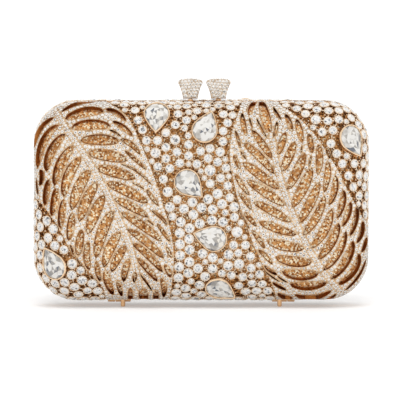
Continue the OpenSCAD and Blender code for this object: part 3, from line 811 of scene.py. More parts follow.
LEFT_LEAF = LeafPattern(
    "leaf_left",
    outline=(
        (101, 90), (108, 104), (120, 110), (130, 120), (135, 130), (144, 150), (152, 170), (159, 190),
        (165, 210), (171, 230), (174, 250), (174, 270), (171, 290), (168, 310), (108, 310), (104, 287),
        (97, 280), (87, 270), (80, 260), (70, 250), (66, 240), (61, 230), (55, 220), (48, 210),
        (40, 200), (22, 188), (22, 90),
    ),
    spine=(
        (57, 112), (68, 130), (82, 150), (95, 170), (106, 190), (115.5, 210), (124.5, 230), (131.5, 250),
        (136.5, 270), (141, 290),
    ),
    gaps=(
        ((66, 120), (85, 113.3), (103.5, 112.5), 8), ((73, 128.5), (91, 125.3), (110.5, 127), 8.5),
        ((81.5, 141), (101, 140), (119, 142), 9), ((89.5, 153.5), (107, 155.3), (126, 160), 10),
        ((97, 167.5), (115, 172), (134, 178), 9.5), ((107.5, 183.5), (126, 190.5), (146, 202), 9),
        ((115, 199), (131, 206.5), (148.5, 217), 7), ((122, 213), (141, 224.5), (160.5, 240), 7),
        ((128, 229.5), (145, 240.5), (161.5, 256), 6.5), ((133, 243.5), (148, 255), (162.5, 271.5), 6),
        ((137, 258), (147, 268), (157, 280), 5), ((59.5, 126), (45.5, 141), (39.5, 167), 6),
        ((66, 134.5), (53, 151), (48, 172), 7.5), ((74, 146), (62, 163.5), (56, 185), 8),
        ((82, 157), (70, 174), (65, 195), 8.5), ((91, 170), (80, 186.5), (73, 208), 9.5),
        ((98, 183), (87.5, 199.5), (80.5, 220), 9), ((105, 195), (95.5, 213), (88.5, 233), 9.5),
        ((114, 211), (103, 231), (96.5, 257), 9.5), ((121, 232), (111, 247), (104.5, 266), 8.5),
        ((126.5, 246), (118.5, 257), (112.5, 270.5), 7), ((130.5, 259.5), (126, 268), (124, 280), 5.5),
        ((106.5, 110.5), (117.5, 114), (126, 121.5), 3.8), ((115, 123), (124.5, 128.3), (131.5, 135), 4),
        ((121, 140), (131, 144), (139.5, 153), 4.2), ((127.5, 152.5), (135.5, 159.5), (144.5, 168), 3),
        ((147, 189.5), (151.5, 196.5), (158, 205), 3.4), ((154, 212), (162, 218), (167, 225), 3),
        ((158, 225), (164, 233), (170, 242), 3), ((162, 279.5), (164.5, 286.5), (164, 294), 4.5),
        ((42.5, 170.5), (44, 177), (41.5, 186), 4), ((50, 181), (48, 192), (46.5, 206), 5),
        ((57, 189.5), (56, 202), (53, 216.5), 6.2), ((64.5, 201), (62.8, 214), (61.5, 229), 5.6),
        ((73, 215), (71.5, 227), (69.5, 241), 6), ((82, 231.5), (80, 243.5), (78.5, 256), 6.6),
        ((88.5, 244), (87, 257), (90, 270), 5.6), ((97, 262.5), (98, 271), (100.5, 281), 4.2),
        ((106, 272), (107.5, 281), (112, 291), 6), ((118.5, 282), (119.5, 287), (121, 292), 4),
        ((62, 113.5), (80, 103.9), (98, 102.5), 3), ((55.5, 118.5), (42.2, 129.6), (36, 148), 3.4),
        ((140, 274), (146, 281), (152, 290), 1.8), ((122, 164.5), (137, 171), (151, 184), 2),
        ((168, 250), (170, 254), (172, 258), 3), ((165.5, 266), (168.5, 271), (170.5, 277), 4.2),
        ((135.5, 272), (135, 276), (134.5, 281), 3.6), ((130.5, 291), (130.5, 295), (130.5, 299), 4),
        ((143, 288), (143.5, 293), (144, 299), 8), ((156, 291), (156, 295), (156, 299), 4.5),
        ((36, 153), (35, 158), (34.5, 163), 1.5), ((38.5, 180), (38.8, 187), (39.8, 194), 1.5),
        ((71, 245), (73, 250), (74, 256), 2), ((77, 258), (79, 261.5), (81, 265), 1.5),
        ((90, 273), (92.5, 277), (95, 281), 2.4), ((109.5, 130.5), (115.5, 133), (121, 136.5), 1.8),
        ((133.5, 183), (139, 185.5), (144.5, 189.5), 1.7),
        ((147.5, 220.5), (150.5, 222), (153.5, 225), 1.6),
    ),
)
RIGHT_LEAF = LeafPattern(
    "leaf_right",
    outline=(
        (246, 90), (277, 90), (278, 106), (290, 112), (300, 120), (310, 130), (318, 140), (325, 150),
        (337, 170), (346, 190), (357, 210), (363, 222), (380, 226), (380, 310), (276, 310), (276, 296),
        (272, 285), (268, 275), (262, 265), (258, 255), (253, 245), (246, 225), (239, 205), (234, 185),
        (230, 165), (229, 150), (231, 135), (234, 125), (238, 114),
    ),
    spine=(
        (270, 128), (274, 150), (277.5, 170), (283.5, 190), (291, 210), (299, 230), (309, 250), (322, 270),
        (339, 290),
    ),
    gaps=(
        ((252, 131), (262.5, 145), (271, 158), 5.5), ((244, 144), (259, 156.5), (273, 173), 6.5),
        ((243, 163), (260, 175), (278, 189), 8), ((248, 181.5), (265.5, 192.5), (282, 204.5), 8),
        ((255, 203), (271.5, 210.8), (289, 221.5), 7), ((260, 222.5), (277, 229), (295, 234.5), 7),
        ((267.5, 241), (285, 246.3), (303.5, 248.5), 8.5), ((277.5, 258), (294, 262), (311, 262), 8.7),
        ((284, 272), (300.5, 275.3), (317.5, 273), 8.7), ((291, 284), (308, 285.8), (326, 282.3), 6.5),
        ((296, 294.5), (313, 297), (330, 290.5), 4), ((284, 136), (281, 145), (277.5, 155), 5.5),
        ((293.5, 144), (288, 158), (281.5, 171.5), 7.5), ((304, 154), (296.5, 172), (287, 189.5), 8),
        ((311, 168), (302.5, 188), (291.5, 207.5), 9), ((318, 184), (309.3, 204), (298.5, 223.5), 8),
        ((323.5, 198), (315.5, 218), (302.5, 235.5), 7.2),
        ((330.5, 211), (323.8, 231), (310, 248.5), 7.6),
        ((337.5, 224), (330.3, 243), (317.5, 259.5), 7.5),
        ((344.5, 233), (337, 254), (322.5, 270.5), 5.6), ((351.5, 242), (345, 261), (330.5, 279), 6.8),
        ((357.5, 254), (352.5, 270.5), (337, 284.5), 5.5), ((242, 115.5), (242.8, 124), (245, 132.5), 4),
        ((234, 156), (236, 161), (239, 167), 3.5), ((235, 174), (241, 184.5), (248, 194), 4),
        ((239, 194), (245, 200), (250, 208), 4), ((244.5, 212.5), (249, 218), (254.5, 224.5), 4),
        ((252, 231), (258.5, 239), (264, 248), 4), ((258, 250), (264.5, 255.5), (271, 263), 3.5),
        ((264, 265.5), (270, 270.5), (277, 274.5), 3), ((254.5, 103.5), (250.5, 109), (249, 116), 4),
        ((261.5, 104), (265.5, 119), (269, 134), 8), ((286, 117), (289, 123), (291, 130), 4),
        ((296, 120), (299, 131), (301.5, 143), 5), ((308.3, 135.5), (310, 143.5), (311.5, 152.5), 4.6),
        ((317.5, 144.5), (319, 158), (317.5, 173), 5.5), ((327, 162.5), (327, 175), (324, 190.5), 5),
        ((334.5, 177), (334, 190), (329, 204), 5), ((342.5, 191), (341.3, 204), (336.5, 217.5), 5),
        ((349, 202), (346.8, 214), (341.5, 226), 4.6), ((355.5, 206), (354, 221), (349, 235.5), 4.2),
        ((361, 221), (360, 233), (355, 243.5), 3.6), ((235, 131), (238, 140), (240, 148), 2.4),
        ((272, 282), (278, 285.5), (284, 288.5), 2.6), ((277, 292.5), (284, 296), (291, 297), 3.6),
        ((233, 197), (236, 203), (240, 208), 1.8), ((239, 211), (244, 220), (249, 229), 1.8),
        ((250, 242), (251.5, 244.5), (253, 247), 1.5), ((257, 121), (261, 129.5), (266, 138), 1.8),
        ((274.5, 111.5), (276.5, 115), (279, 118.5), 2.4), ((325.5, 148), (327.5, 153), (329, 158.5), 3),
        ((364.5, 239), (363, 246), (360, 252.5), 3), ((363.5, 262), (356.5, 277), (344, 289.5), 2),
        ((276.5, 124), (275.5, 131), (273, 137.5), 2.8),
        ((240.5, 151.5), (242.5, 155), (245, 158.5), 1.6),
        ((264.5, 270.5), (271, 276), (280, 281.5), 1.3), ((310.5, 156), (309.3, 162), (308.3, 166), 1.8),
        ((301.5, 145.5), (301, 149), (300.5, 152), 1.5), ((324, 300), (330, 297.5), (335, 293.5), 2.2),
        ((249.5, 119), (250.3, 124), (252, 128), 1.6), ((277, 275.5), (281.5, 279), (286.5, 281.5), 1.4),
    ),
)
PEARS = (
    ((157, 114), (156, 133)), ((204.5, 131.5), (212, 110)), ((187, 182), (203, 198)),
    ((214, 239), (192, 233)), ((218, 287), (236, 299)), ((56, 267), (44.5, 246.5)),
    ((349, 138), (361, 158)),
)
# Round stones that the photograph shows, in pixels, and the radius in pixels where one is larger
SEEN_STONES = (
    (154, 154, 6), (176, 138, 6), (208, 171, 6.5), (216, 195, 6), (167, 190, 6), (222, 152, 5.5),
    (84, 279, 6), (314, 122, 6), (237, 230, 6.5), (237, 265, 6), (356, 176, 5.5),
    (124, 107), (133, 111), (141, 105), (137, 120), (141, 129), (146, 139), (156, 141), (166, 146),
    (164, 133), (176, 115), (185, 108), (174, 105), (186, 119), (195, 112), (197, 104), (217, 108),
    (222, 114), (229, 109), (229, 122), (224, 130), (224, 141), (174, 125), (185, 127), (188, 143),
    (177, 150), (167, 157), (158, 165), (169, 167), (180, 161), (188, 154), (196, 162), (199, 150),
    (206, 158), (211, 149), (216, 161), (226, 166), (220, 176), (211, 183), (227, 184), (162, 178),
    (175, 199), (229, 196), (284, 107), (295, 111), (303, 114), (316, 112), (326, 111), (336, 112),
    (327, 120), (337, 119), (348, 118), (320, 134), (331, 131), (330, 142), (334, 153), (339, 164),
    (351, 164), (361, 165), (345, 175), (350, 186), (362, 185), (357, 194), (362, 204), (236, 218),
    (234, 243), (245, 243), (238, 251), (250, 256), (251, 266), (257, 274), (244, 275), (233, 276),
    (240, 284), (250, 282), (260, 283),
)
LEAVES = (LEFT_LEAF, RIGHT_LEAF)


def middle_arc(gap: tuple) -> tuple[np.ndarray, np.ndarray, np.ndarray]:
    """The ends of a gap's middle line, and between them the point that bends it."""
    a, m, b = (np.array(p, float) for p in gap[:3])
    return a, 2 * m - (a + b) / 2, b


@dataclass
class StoneSetting:
    """Everything that is set over one half, worked out once and made for both halves."""

    shell: ShellForm = field(default_factory=ShellForm)
    view: PhotoView = field(default_factory=PhotoView)
    leaf_low: float = -0.8 * MM
    leaf_high: float = 0.8 * MM
    cage_high: float = 0.0
    # Gaps of the leaves, in pixels of the photograph
    gap_steps: int = 13
    gap_round: float = 0.42
    gap_reach: float = 3.6
    gap_step: float = 0.4
    gap_clear: tuple = (2.0, 3.4, 2.6)
    gap_grow: float = 1.6
    gap_share: float = 0.28
    # Lips and leaning walls of the gaps
    lip: float = 0.2 * MM
    gap_lean: float = 0.32 * MM
    lean_share: float = 0.22
    # Small stones of the leaves
    leaf_reach: float = 3 * MM
    pave_step: float = 0.26 * MM
    pave_sizes: tuple = (0.95 * MM, 0.8 * MM, 0.66 * MM, 0.54 * MM, 0.42 * MM)
    pave_gap: float = 0.04 * MM
    pave_bead: float = 0.22 * MM
    bead_gap: float = 0.06 * MM
    spine_size: float = 0.8 * MM
    spine_reach: float = 0.3 * MM
    spine_least: float = 0.8
    line_step: float = 0.3 * MM
    # Round stones, and the openings and beads between their cups
    field_reach: float = 8 * MM
    field_step: float = 0.5 * MM
    field_jitter: float = 0.3
    cup_wall: float = 0.36 * MM
    cup_gap: float = 0.1 * MM
    round_sizes: tuple = (2.75 * MM, 2.5 * MM, 2.25 * MM, 1.9 * MM, 1.6 * MM)
    seen_size: float = 2.45 * MM
    seen_share: float = 0.88
    seen_reach: float = 1.3 * MM
    seen_least: float = 0.7
    opening_sizes: tuple = (1.3 * MM, 1.0 * MM, 0.75 * MM, 0.55 * MM)
    opening_gap: float = 0.12 * MM
    bead_sizes: tuple = (0.45 * MM, 0.34 * MM)
    bead_needs: float = 0.6
    bead_takes: float = 2.2
    bridge_reach: float = 2.2 * MM
    # Pear stones and their bezels
    pear_r: float = 6.4 * MM
    pear_tip: float = 10.9 * MM
    pear_lean: float = math.radians(6)
    pear_swell: float = 0.09
    bezel_wall: float = 0.7 * MM
    tip_share: float = 1.5
    # Feet that the stones keep clear of
    foot_x: float = 42 * MM
    foot_z: float = 5.1 * MM
    foot_r: float = 1.9 * MM

    def __post_init__(self) -> None:
        """Works out outlines, gaps and the places of all stones."""
        self.rng = np.random.default_rng(SEED)
        self.rim = self.shell.rim_loop()
        self.leaves = {leaf.name: self.leaf_loop(leaf) for leaf in LEAVES}
        self.gaps = {leaf.name: self.gap_loops(leaf) for leaf in LEAVES}
        self.pears = [self.pear_seat(*pear) for pear in PEARS]
        self.rounds, self.beads, self.openings = self.fill_field()
        self.bridges = self.join_cups()
        self.pave = {leaf.name: self.fill_leaf(leaf) for leaf in LEAVES}
        log.info("setting: %d round stones, %d beads, %s small stones", len(self.rounds), len(self.beads),
                 {name: len(stones) for name, (stones, _) in self.pave.items()})

    def leaf_loop(self, leaf: LeafPattern) -> np.ndarray:
        """A leaf's outline on the rolled-out surface, kept within the rim."""
        foot, way, run = self.shell.apart(self.view.chart(self.shell, rounded(leaf.outline)))
        return foot + way * np.minimum(run, self.shell.full_run)[:, None]

    def gap_loops(self, leaf: LeafPattern) -> list:
        """The outlines of a leaf's gaps on the rolled-out surface, all turning left.

        Args:
            leaf: The leaf.
        Returns:
            One outline per gap.
        """
        found = []
        for number in range(len(leaf.gaps)):
            chart = self.view.chart(self.shell, self.gap_pixels(self.drawn_out(leaf, number)))
            found.append(chart if area_of(chart) > 0 else chart[::-1])
        return found

    def drawn_out(self, leaf: LeafPattern, number: int) -> tuple:
        """A gap whose ends run on between the ribs as far as its neighbours leave room.

        Args:
            leaf: The leaf.
            number: Which of its gaps.
        Returns:
            The gap in pixels, as the leaf gives it, but longer.
        """
        a, bend, b = middle_arc(leaf.gaps[number])
        others = np.vstack([self.gap_pixels(g) for k, g in enumerate(leaf.gaps) if k != number])
        spine = resampled(np.array(leaf.spine, float), 1.0, False)
        around = list(zip((others, spine, resampled(rounded(leaf.outline), 1.0)), self.gap_clear))
        ends = []
        for end in (a, b):
            way, reach = unit(end - bend), 0.0
            while reach < self.gap_reach:
                tip = end + (reach + self.gap_step) * way
                room = min(np.linalg.norm(line - tip, axis=1).min() - clear for line, clear in around)
                if room < reach + self.gap_step:
                    break
                reach += self.gap_step
            ends.append(end + reach * way)
        return (ends[0], bend / 2 + (ends[0] + ends[1]) / 4, ends[1], leaf.gaps[number][3])

    def gap_pixels(self, gap: tuple) -> np.ndarray:
        """The lens-shaped outline of a gap in pixels.

        Args:
            gap: One end, the middle, the other end, and the width.
        Returns:
            The outline's points.
        """
        a, bend, b = middle_arc(gap)
        t = np.linspace(0, 1, self.gap_steps + 2)[:, None]
        line = bent(a, bend, b, t)
        way = unit(2 * (1 - t) * (bend - a) + 2 * t * (b - bend))
        half_w = (gap[3] + min(self.gap_grow, self.gap_share * gap[3])) / 2
        side = half_w * np.sin(math.pi * t) ** self.gap_round * left_of(way)
        return np.vstack([line[:1], (line + side)[1:-1], line[-1:], (line - side)[1:-1][::-1]])

    def pear_line(self, out: float, tip_out: float, count: int) -> np.ndarray:
        """A pear's outline, tip at +X: a circle and two full-bellied sides.

        Args:
            out: How far its round end lies outside the stone's.
            tip_out: How far its tip lies outside the stone's.
            count: Number of points, the first on the tip.
        Returns:
            The outline's points.
        """
        r, tip = self.pear_r + out, self.pear_tip + tip_out
        lean = math.acos(r / tip) + self.pear_lean
        turn = np.linspace(lean, 2 * math.pi - lean, 60)
        circle = r * np.column_stack([np.cos(turn), np.sin(turn)])
        start, end = circle[0], np.array([tip, 0.0])
        swell = (start + end) / 2 + self.pear_swell * np.linalg.norm(end - start) * unit(start + end)
        side = bent(end, swell, start, np.linspace(0, 1, 20)[:-1, None])
        return spaced(np.vstack([side, circle, (side * (1, -1))[:0:-1]]), count)

    @property
    def pear_middle(self) -> float:
        """Distance of a pear's middle from the centre of its round end."""
        return (self.pear_tip - self.pear_r) / 2

    def pear_seat(self, centre: tuple, tip: tuple) -> tuple:
        """Seat of a pear stone.

        Args:
            centre: Pixel of the centre of its round end.
            tip: A pixel towards its tip.
        Returns:
            Its middle on the metal surface, and the directions to its tip, across and outward.
        """
        places = self.view.place(self.shell, np.array([centre, tip]))
        way = unit(places[1] - places[0])
        middle = places[0] + self.pear_middle * way
        point, down, across, out = self.shell.seat(self.shell.unroll(middle[None])[0])
        flat_down = unit(down[:2]) if np.linalg.norm(down[:2]) > 0 else np.array([1.0, 0.0])
        turn = math.atan2(way[1], way[0]) - math.atan2(flat_down[1], flat_down[0])
        along = math.cos(turn) * down + math.sin(turn) * across
        return point, along, np.cross(out, along), out

    def pear_at(self, seat: tuple, line: np.ndarray, z: float) -> np.ndarray:
        """Points of a pear's own outline set on its seat at a height.

        Args:
            seat: The pear's seat.
            line: The outline.
            z: Height above the metal surface.
        Returns:
            The points.
        """
        point, along, across, out = seat
        x, y = line[:, 0] - self.pear_middle, line[:, 1]
        return point + np.outer(x, along) + np.outer(y, across) + z * out

    def field_room(self) -> Room:
        """The places between the leaves, with the distance to all that stones keep clear of.

        Returns:
            The places.
        """
        chart = grid_over(self.rim.min(0), self.rim.max(0), self.field_step)
        jitter = self.rng.uniform(-self.field_jitter, self.field_jitter, chart.shape)
        chart = chart + jitter * self.field_step
        chart = chart[between(chart, self.rim, self.leaves.values())]
        room = Room(chart, self.shell.at(chart), self.field_reach)
        for loop in self.leaves.values():
            room.keep_from(self.shell.at(resampled(loop, self.field_step)))
        for seat in self.pears:
            line = self.pear_line(self.bezel_wall, self.tip_share * self.bezel_wall, 70)
            room.keep_from(self.shell.settled(self.pear_at(seat, line, 0)))
            room.put(np.linalg.norm(room.points - seat[0], axis=1) - self.pear_r)
        room.put(room.points[:, 2] - self.shell.rim_top)
        for x in (-self.foot_x, self.foot_x):
            foot = np.array([x, -self.shell.half_h, self.foot_z])
            room.put(np.linalg.norm(room.points - foot, axis=1) - self.foot_r)
        return room

    def fill_field(self) -> tuple[list, list, list]:
        """Packs round stones, then openings and beads, over all that the leaves leave free.

        Returns:
            Stones, beads and openings, each as its place on the rolled-out surface and its radius.
        """
        room = self.field_room()
        rounds = []
        for x, y, *size_px in SEEN_STONES:
            size = size_px[0] * self.view.scale(self.shell) * self.seen_share if size_px else self.seen_size
            i = room.near(self.shell.at(self.view.chart(self.shell, [(x, y)]))[0], self.seen_reach)
            if i is not None and room.first[i] > self.seen_least * size:
                size = min(size, room.first[i] - self.cup_gap)
                rounds.append((room.chart[i], size))
                room.take(i, size + self.cup_gap)
        for size in self.round_sizes:
            rounds += room.filled(size, size + self.cup_gap, size + self.cup_gap)
        openings, beads = [], []
        for size in self.opening_sizes:
            openings += room.filled(size, size, size + self.opening_gap)
        for size in self.bead_sizes:
            beads += room.filled(size, self.bead_needs * size, self.bead_takes * size)
        return rounds, beads, openings

    def join_cups(self) -> list:
        """Short bars from cup to cup, as ends on the rims of two neighbours.

        Returns:
            Two ends per bar.
        """
        centres = self.shell.at(np.array([place for place, _ in self.rounds]))
        sizes = np.array([size for _, size in self.rounds])
        bars = []
        for i in range(len(centres)):
            apart = np.linalg.norm(centres[i + 1:] - centres[i], axis=1)
            free = apart - sizes[i + 1:] - sizes[i]
            for j in np.nonzero((free > 0) & (free < self.bridge_reach))[0] + i + 1:
                way = unit(centres[j] - centres[i])
                bars.append((centres[i] + sizes[i] * way, centres[j] - sizes[j] * way))
        return bars

    def moved_out(self, gap: np.ndarray, far: float) -> np.ndarray:
        """A gap's outline moved outward on the rolled-out surface, or inward if negative."""
        return gap - far * left_of(unit(np.roll(gap, -1, axis=0) - np.roll(gap, 1, axis=0)))

    def lip_line(self, gap: np.ndarray) -> np.ndarray:
        """The line where the lip round a gap ends."""
        return self.moved_out(gap, self.lip)

    def foot_line(self, gap: np.ndarray) -> np.ndarray:
        """The line on the cloth where the leaning wall of a gap ends."""
        wide = 2 * area_of(gap) / np.sum(np.linalg.norm(np.roll(gap, -1, axis=0) - gap, axis=1))
        return self.moved_out(gap, -min(self.gap_lean, self.lean_share * wide))

    def spine_side(self, leaf: LeafPattern, step: float, apart: float) -> np.ndarray:
        """A line beside a leaf's spine on the rolled-out surface.

        Args:
            leaf: The leaf.
            step: Distance between the line's points.
            apart: Distance from the middle of the spine, negative on the other side.
        Returns:
            The line's points.
        """
        spine = resampled(self.view.chart(self.shell, leaf.spine), step, False)
        return spine + apart * left_of(unit(np.gradient(spine, axis=0)))

    def spine_walls(self, leaf: LeafPattern) -> list:
        """The two low walls along a spine, as inner and outer lines on the rolled-out surface.

        Args:
            leaf: The leaf.
        Returns:
            Two lines per wall.
        """
        near = 2 * self.spine_size + 2 * self.pave_gap
        return [
            [self.spine_side(leaf, self.spine_size, way * far) for far in (near, near + self.lip)]
            for way in (1, -1)
        ]

    def leaf_room(self, leaf: LeafPattern) -> Room:
        """The places on a leaf's ribs and spine, with the distance to edges, lips and spine walls.

        Args:
            leaf: The leaf.
        Returns:
            The places.
        """
        loop, gaps, at = self.leaves[leaf.name], self.gaps[leaf.name], self.shell.at
        chart = grid_over(loop.min(0), loop.max(0), self.pave_step)
        chart = chart[inside(chart, self.rim) & between(chart, loop, gaps)]
        room = Room(chart, at(chart), self.leaf_reach)
        for line in (*(self.lip_line(gap) for gap in gaps), loop):
            room.keep_from(at(resampled(line, self.line_step)))
        room.put(room.points[:, 2] - self.shell.rim_top)
        for side in self.spine_walls(leaf):
            room.keep_from(at(resampled(np.mean(side, axis=0), self.line_step, False)))
        return room

    def fill_leaf(self, leaf: LeafPattern) -> tuple[list, list]:
        """Packs small stones over a leaf's spine and ribs, and beads between them.

        Args:
            leaf: The leaf.
        Returns:
            Stones and beads, each as its place on the rolled-out surface and its radius.
        """
        room = self.leaf_room(leaf)
        stones = []
        step = 2 * (self.spine_size + self.pave_gap)
        for place in np.vstack([self.spine_side(leaf, step, way * step / 4) for way in (1, -1)]):
            i = room.near(self.shell.at(place[None])[0], self.spine_reach)
            if i is not None and room.first[i] >= self.spine_least * self.spine_size:
                size = min(self.spine_size, room.first[i])
                stones.append((room.chart[i], size))
                room.take(i, size + self.pave_gap)
        for size in self.pave_sizes:
            stones += room.filled(size, size + self.pave_gap, size + self.pave_gap)
        return stones, room.filled(self.pave_bead, self.pave_bead, self.pave_bead + self.bead_gap)


class Nodes:
    """Short calls for the shader nodes that the finishes are built from."""

    def __init__(self, tree: bpy.types.NodeTree) -> None:
        """Takes a node tree."""
        self.tree = tree

    def add(self, kind: str, settings: dict | None = None, **inputs: object) -> bpy.types.Node:
        """Adds a node.

        Args:
            kind: Its type, without the leading ShaderNode.
            settings: Properties of the node itself.
            inputs: Values or output sockets for its inputs, spaces as underscores.
        Returns:
            The node.
        """
        node = self.tree.nodes.new("ShaderNode" + kind)
        for name, value in (settings or {}).items():
            setattr(node, name, value)
        self.fill(node, **inputs)
        return node

    def fill(self, node: bpy.types.Node, **inputs: object) -> None:
        """Sets inputs of a node, named with underscores for spaces, to values or output sockets."""
        for name, value in inputs.items():
            self.put(node.inputs[name.replace("_", " ")], value)

    def put(self, socket: bpy.types.NodeSocket, value: object) -> None:
        """Sets a socket to a value, or links an output to it.

        Args:
            socket: The socket.
            value: A value or an output socket.
        """
        if isinstance(value, bpy.types.NodeSocket):
            self.tree.links.new(value, socket)
        else:
            socket.default_value = value

    def mix(self, share: object, a: object, b: object) -> bpy.types.NodeSocket:
        """A colour between two.

        Args:
            share: How much of the second colour, as a value or a socket.
            a: The first colour.
            b: The second colour.
        Returns:
            The output socket.
        """
        node = self.add("Mix", {"data_type": "RGBA"})
        for i, value in ((0, share), (6, a), (7, b)):
            self.put(node.inputs[i], value)
        return node.outputs[2]

    def math(self, kind: str, a: object, b: object) -> bpy.types.NodeSocket:
        """What a sum such as MULTIPLY or ADD makes of two values.

        Args:
            kind: The kind of sum.
            a: The first value, or a socket.
            b: The second value, or a socket.
        Returns:
            The output socket.
        """
        node = self.add("Math", {"operation": kind})
        for i, value in enumerate((a, b)):
            self.put(node.inputs[i], value)
        return node.outputs[0]

    def spread(self, value: object, low: float, high: float, to_low: float = 0,
               to_high: float = 1) -> bpy.types.NodeSocket:
        """A value stretched from one range to another and kept inside it.

        Args:
            value: The value, or a socket.
            low: Where the first range starts.
            high: Where it ends.
            to_low: Where the second range starts.
            to_high: Where it ends.
        Returns:
            The output socket.
        """
        node = self.add("MapRange", Value=value, From_Min=low, From_Max=high, To_Min=to_low, To_Max=to_high)
        return node.outputs[0]

    def bumped(self, height: object, strength: float, distance: float) -> bpy.types.NodeSocket:
        """Normals of a surface that a height makes uneven.

        Args:
            height: The height, as a socket.
            strength: How strong the bumps are.
            distance: How high a height of one stands.
        Returns:
            The output socket.
        """
        return self.add("Bump", Strength=strength, Distance=distance, Height=height).outputs[0]


def rgba(colour: tuple) -> tuple:
    """A colour with full alpha."""
    return (*colour, 1.0)


def node_group(name: str, inputs: dict, outputs: dict) -> tuple:
    """An empty shader node group with named sockets.

    Args:
        name: The group's name.
        inputs: The kinds of its inputs by name.
        outputs: The kinds of its outputs, likewise.
    Returns:
        The group, its node calls, its input sockets and its output node.
    """
    tree = bpy.data.node_groups.new(name, "ShaderNodeTree")
    for way, sockets in (("INPUT", inputs), ("OUTPUT", outputs)):
        for label, kind in sockets.items():
            tree.interface.new_socket(label, in_out=way, socket_type="NodeSocket" + kind)
    start, end = tree.nodes.new("NodeGroupInput"), tree.nodes.new("NodeGroupOutput")
    return tree, Nodes(tree), start.outputs, end


# Where most values of a noise lie; patches, wear and hairlines of plating
NOISE_SPAN = (0.3, 0.7)
PATCH_SPAN = (0.4, 0.66)
WEAR = (0.7, 1.5)
HAIR_SCALE = (700, 2600, 900)
# Tones at which a facet's painted reflection goes from dark to grey, on to white and on to warm; its
# painted streaks and polish
GREY_SPAN = (0.04, 0.3)
WHITE_SPAN = (0.3, 0.62)
WARM_SPAN = (0.86, 1.0)
WARM_SHARE = 0.8
STREAK_SHIFT = 0.18
POLISH = (0.14, 0.05)


@cache
def plating_group() -> bpy.types.NodeTree:
    """Plated metal: toned patches, fine grain and hairline scratches that change over the surface; on the
    cage the toned patches are painted shade, and on the gap walls both colours are.

    Returns:
        The group.
    """
    tree, nodes, given, end = node_group(
        "plated_metal",
        {"Base": "Color", "Toned": "Color", "Amount": "Float", "Scale": "Float", "Rough": "Float"},
        {"Color": "Color", "Roughness": "Float", "Height": "Float"},
    )
    where = nodes.add("TexCoord").outputs["Object"]
    cloud = nodes.add("TexNoise", Vector=where, Scale=given["Scale"], Detail=4.0, Roughness=0.6)
    patch = nodes.math("MULTIPLY", nodes.spread(cloud.outputs["Fac"], *PATCH_SPAN), given["Amount"])
    stretch = nodes.add("Mapping", Vector=where, Scale=HAIR_SCALE)
    hair = nodes.add("TexNoise", Vector=stretch.outputs[0], Scale=1.0, Detail=2.0)
    worn = nodes.spread(cloud.outputs["Fac"], *NOISE_SPAN, *WEAR)
    nodes.fill(end, Color=nodes.mix(patch, given["Base"], given["Toned"]),
               Roughness=nodes.math("MULTIPLY", given["Rough"], worn),
               Height=nodes.spread(hair.outputs["Fac"], *NOISE_SPAN))
    return tree


@cache
def facet_group() -> bpy.types.NodeTree:
    """Cut crystal on foil, with painted reflections: each facet is painted as the part of the room that it
    would throw back, from white to slate.

    Returns:
        The group.
    """
    tree, nodes, given, end = node_group(
        "cut_facets_painted_reflections",
        {"White": "Color", "Grey": "Color", "Dark": "Color", "Warm": "Color", "Streak": "Float"},
        {"Color": "Color", "Roughness": "Float"},
    )
    tone = nodes.add("Attribute", {"attribute_name": TONE}).outputs["Fac"]
    where = nodes.add("TexCoord").outputs["Object"]
    fine = nodes.add("TexNoise", Vector=where, Scale=given["Streak"], Detail=1.0)
    streak = nodes.spread(fine.outputs["Fac"], *NOISE_SPAN, -STREAK_SHIFT, STREAK_SHIFT)
    shade = nodes.math("ADD", tone, streak)
    dark = nodes.mix(nodes.spread(shade, *GREY_SPAN), given["Dark"], given["Grey"])
    light = nodes.mix(nodes.spread(shade, *WHITE_SPAN), dark, given["White"])
    warm = nodes.mix(nodes.spread(shade, *WARM_SPAN, 0, WARM_SHARE), light, given["Warm"])
    nodes.fill(end, Color=warm, Roughness=nodes.spread(shade, 0, 1, *POLISH))
    return tree


def new_material(name: str) -> tuple[bpy.types.Material, Nodes, bpy.types.Node]:
    """A material with nothing but its shader and output.

    Args:
        name: The material's name.
    Returns:
        The material, its node calls and its Principled shader.
    """
    material = bpy.data.materials.new(name)
    material.use_nodes = True
    return material, Nodes(material.node_tree), material.node_tree.nodes["Principled BSDF"]


@dataclass(frozen=True)
class PlatedFinish:
    """Rose-gold plating; the cage's and the gap walls' plating also hold painted shade."""

    name: str
    base: tuple
    toned: tuple
    amount: float = 0.5
    scale: float = 160.0
    rough: float = 0.22
    metal: float = 1.0
    bump: float = 0.06
    bump_h: float = 0.05 * MM

    def build(self) -> bpy.types.Material:
        """Makes the material.

        Returns:
            The new material.
        """
        material, nodes, shader = new_material(self.name)
        plated = nodes.add("Group", {"node_tree": plating_group()}, Base=rgba(self.base),
                           Toned=rgba(self.toned), Amount=self.amount, Scale=self.scale,
                           Rough=self.rough).outputs
        nodes.fill(shader, Base_Color=plated["Color"], Roughness=plated["Roughness"], Metallic=self.metal,
                   Normal=nodes.bumped(plated["Height"], self.bump, self.bump_h))
        return material


@dataclass(frozen=True)
class CrystalFinish:
    """Clear cut crystal with a silver foil behind it, what its facets reflect painted into their colour:
    white, grey, dark and warm.
    """

    name: str
    white: tuple = (0.90, 0.89, 0.87)
    grey: tuple = (0.47, 0.48, 0.50)
    dark: tuple = (0.15, 0.14, 0.14)
    warm: tuple = (0.84, 0.72, 0.58)
    streak: float = 420.0
    metal: float = 0.3
    ior: float = 1.6
    coat: float = 0.5
    coat_rough: float = 0.02

    def build(self) -> bpy.types.Material:
        """Makes the material.

        Returns:
            The new material.
        """
        material, nodes, shader = new_material(self.name)
        facets = nodes.add("Group", {"node_tree": facet_group()}, White=rgba(self.white),
                           Grey=rgba(self.grey), Dark=rgba(self.dark), Warm=rgba(self.warm),
                           Streak=self.streak).outputs
        nodes.fill(shader, Base_Color=facets["Color"], Roughness=facets["Roughness"], Metallic=self.metal,
                   IOR=self.ior, Coat_Weight=self.coat, Coat_Roughness=self.coat_rough)
        return material


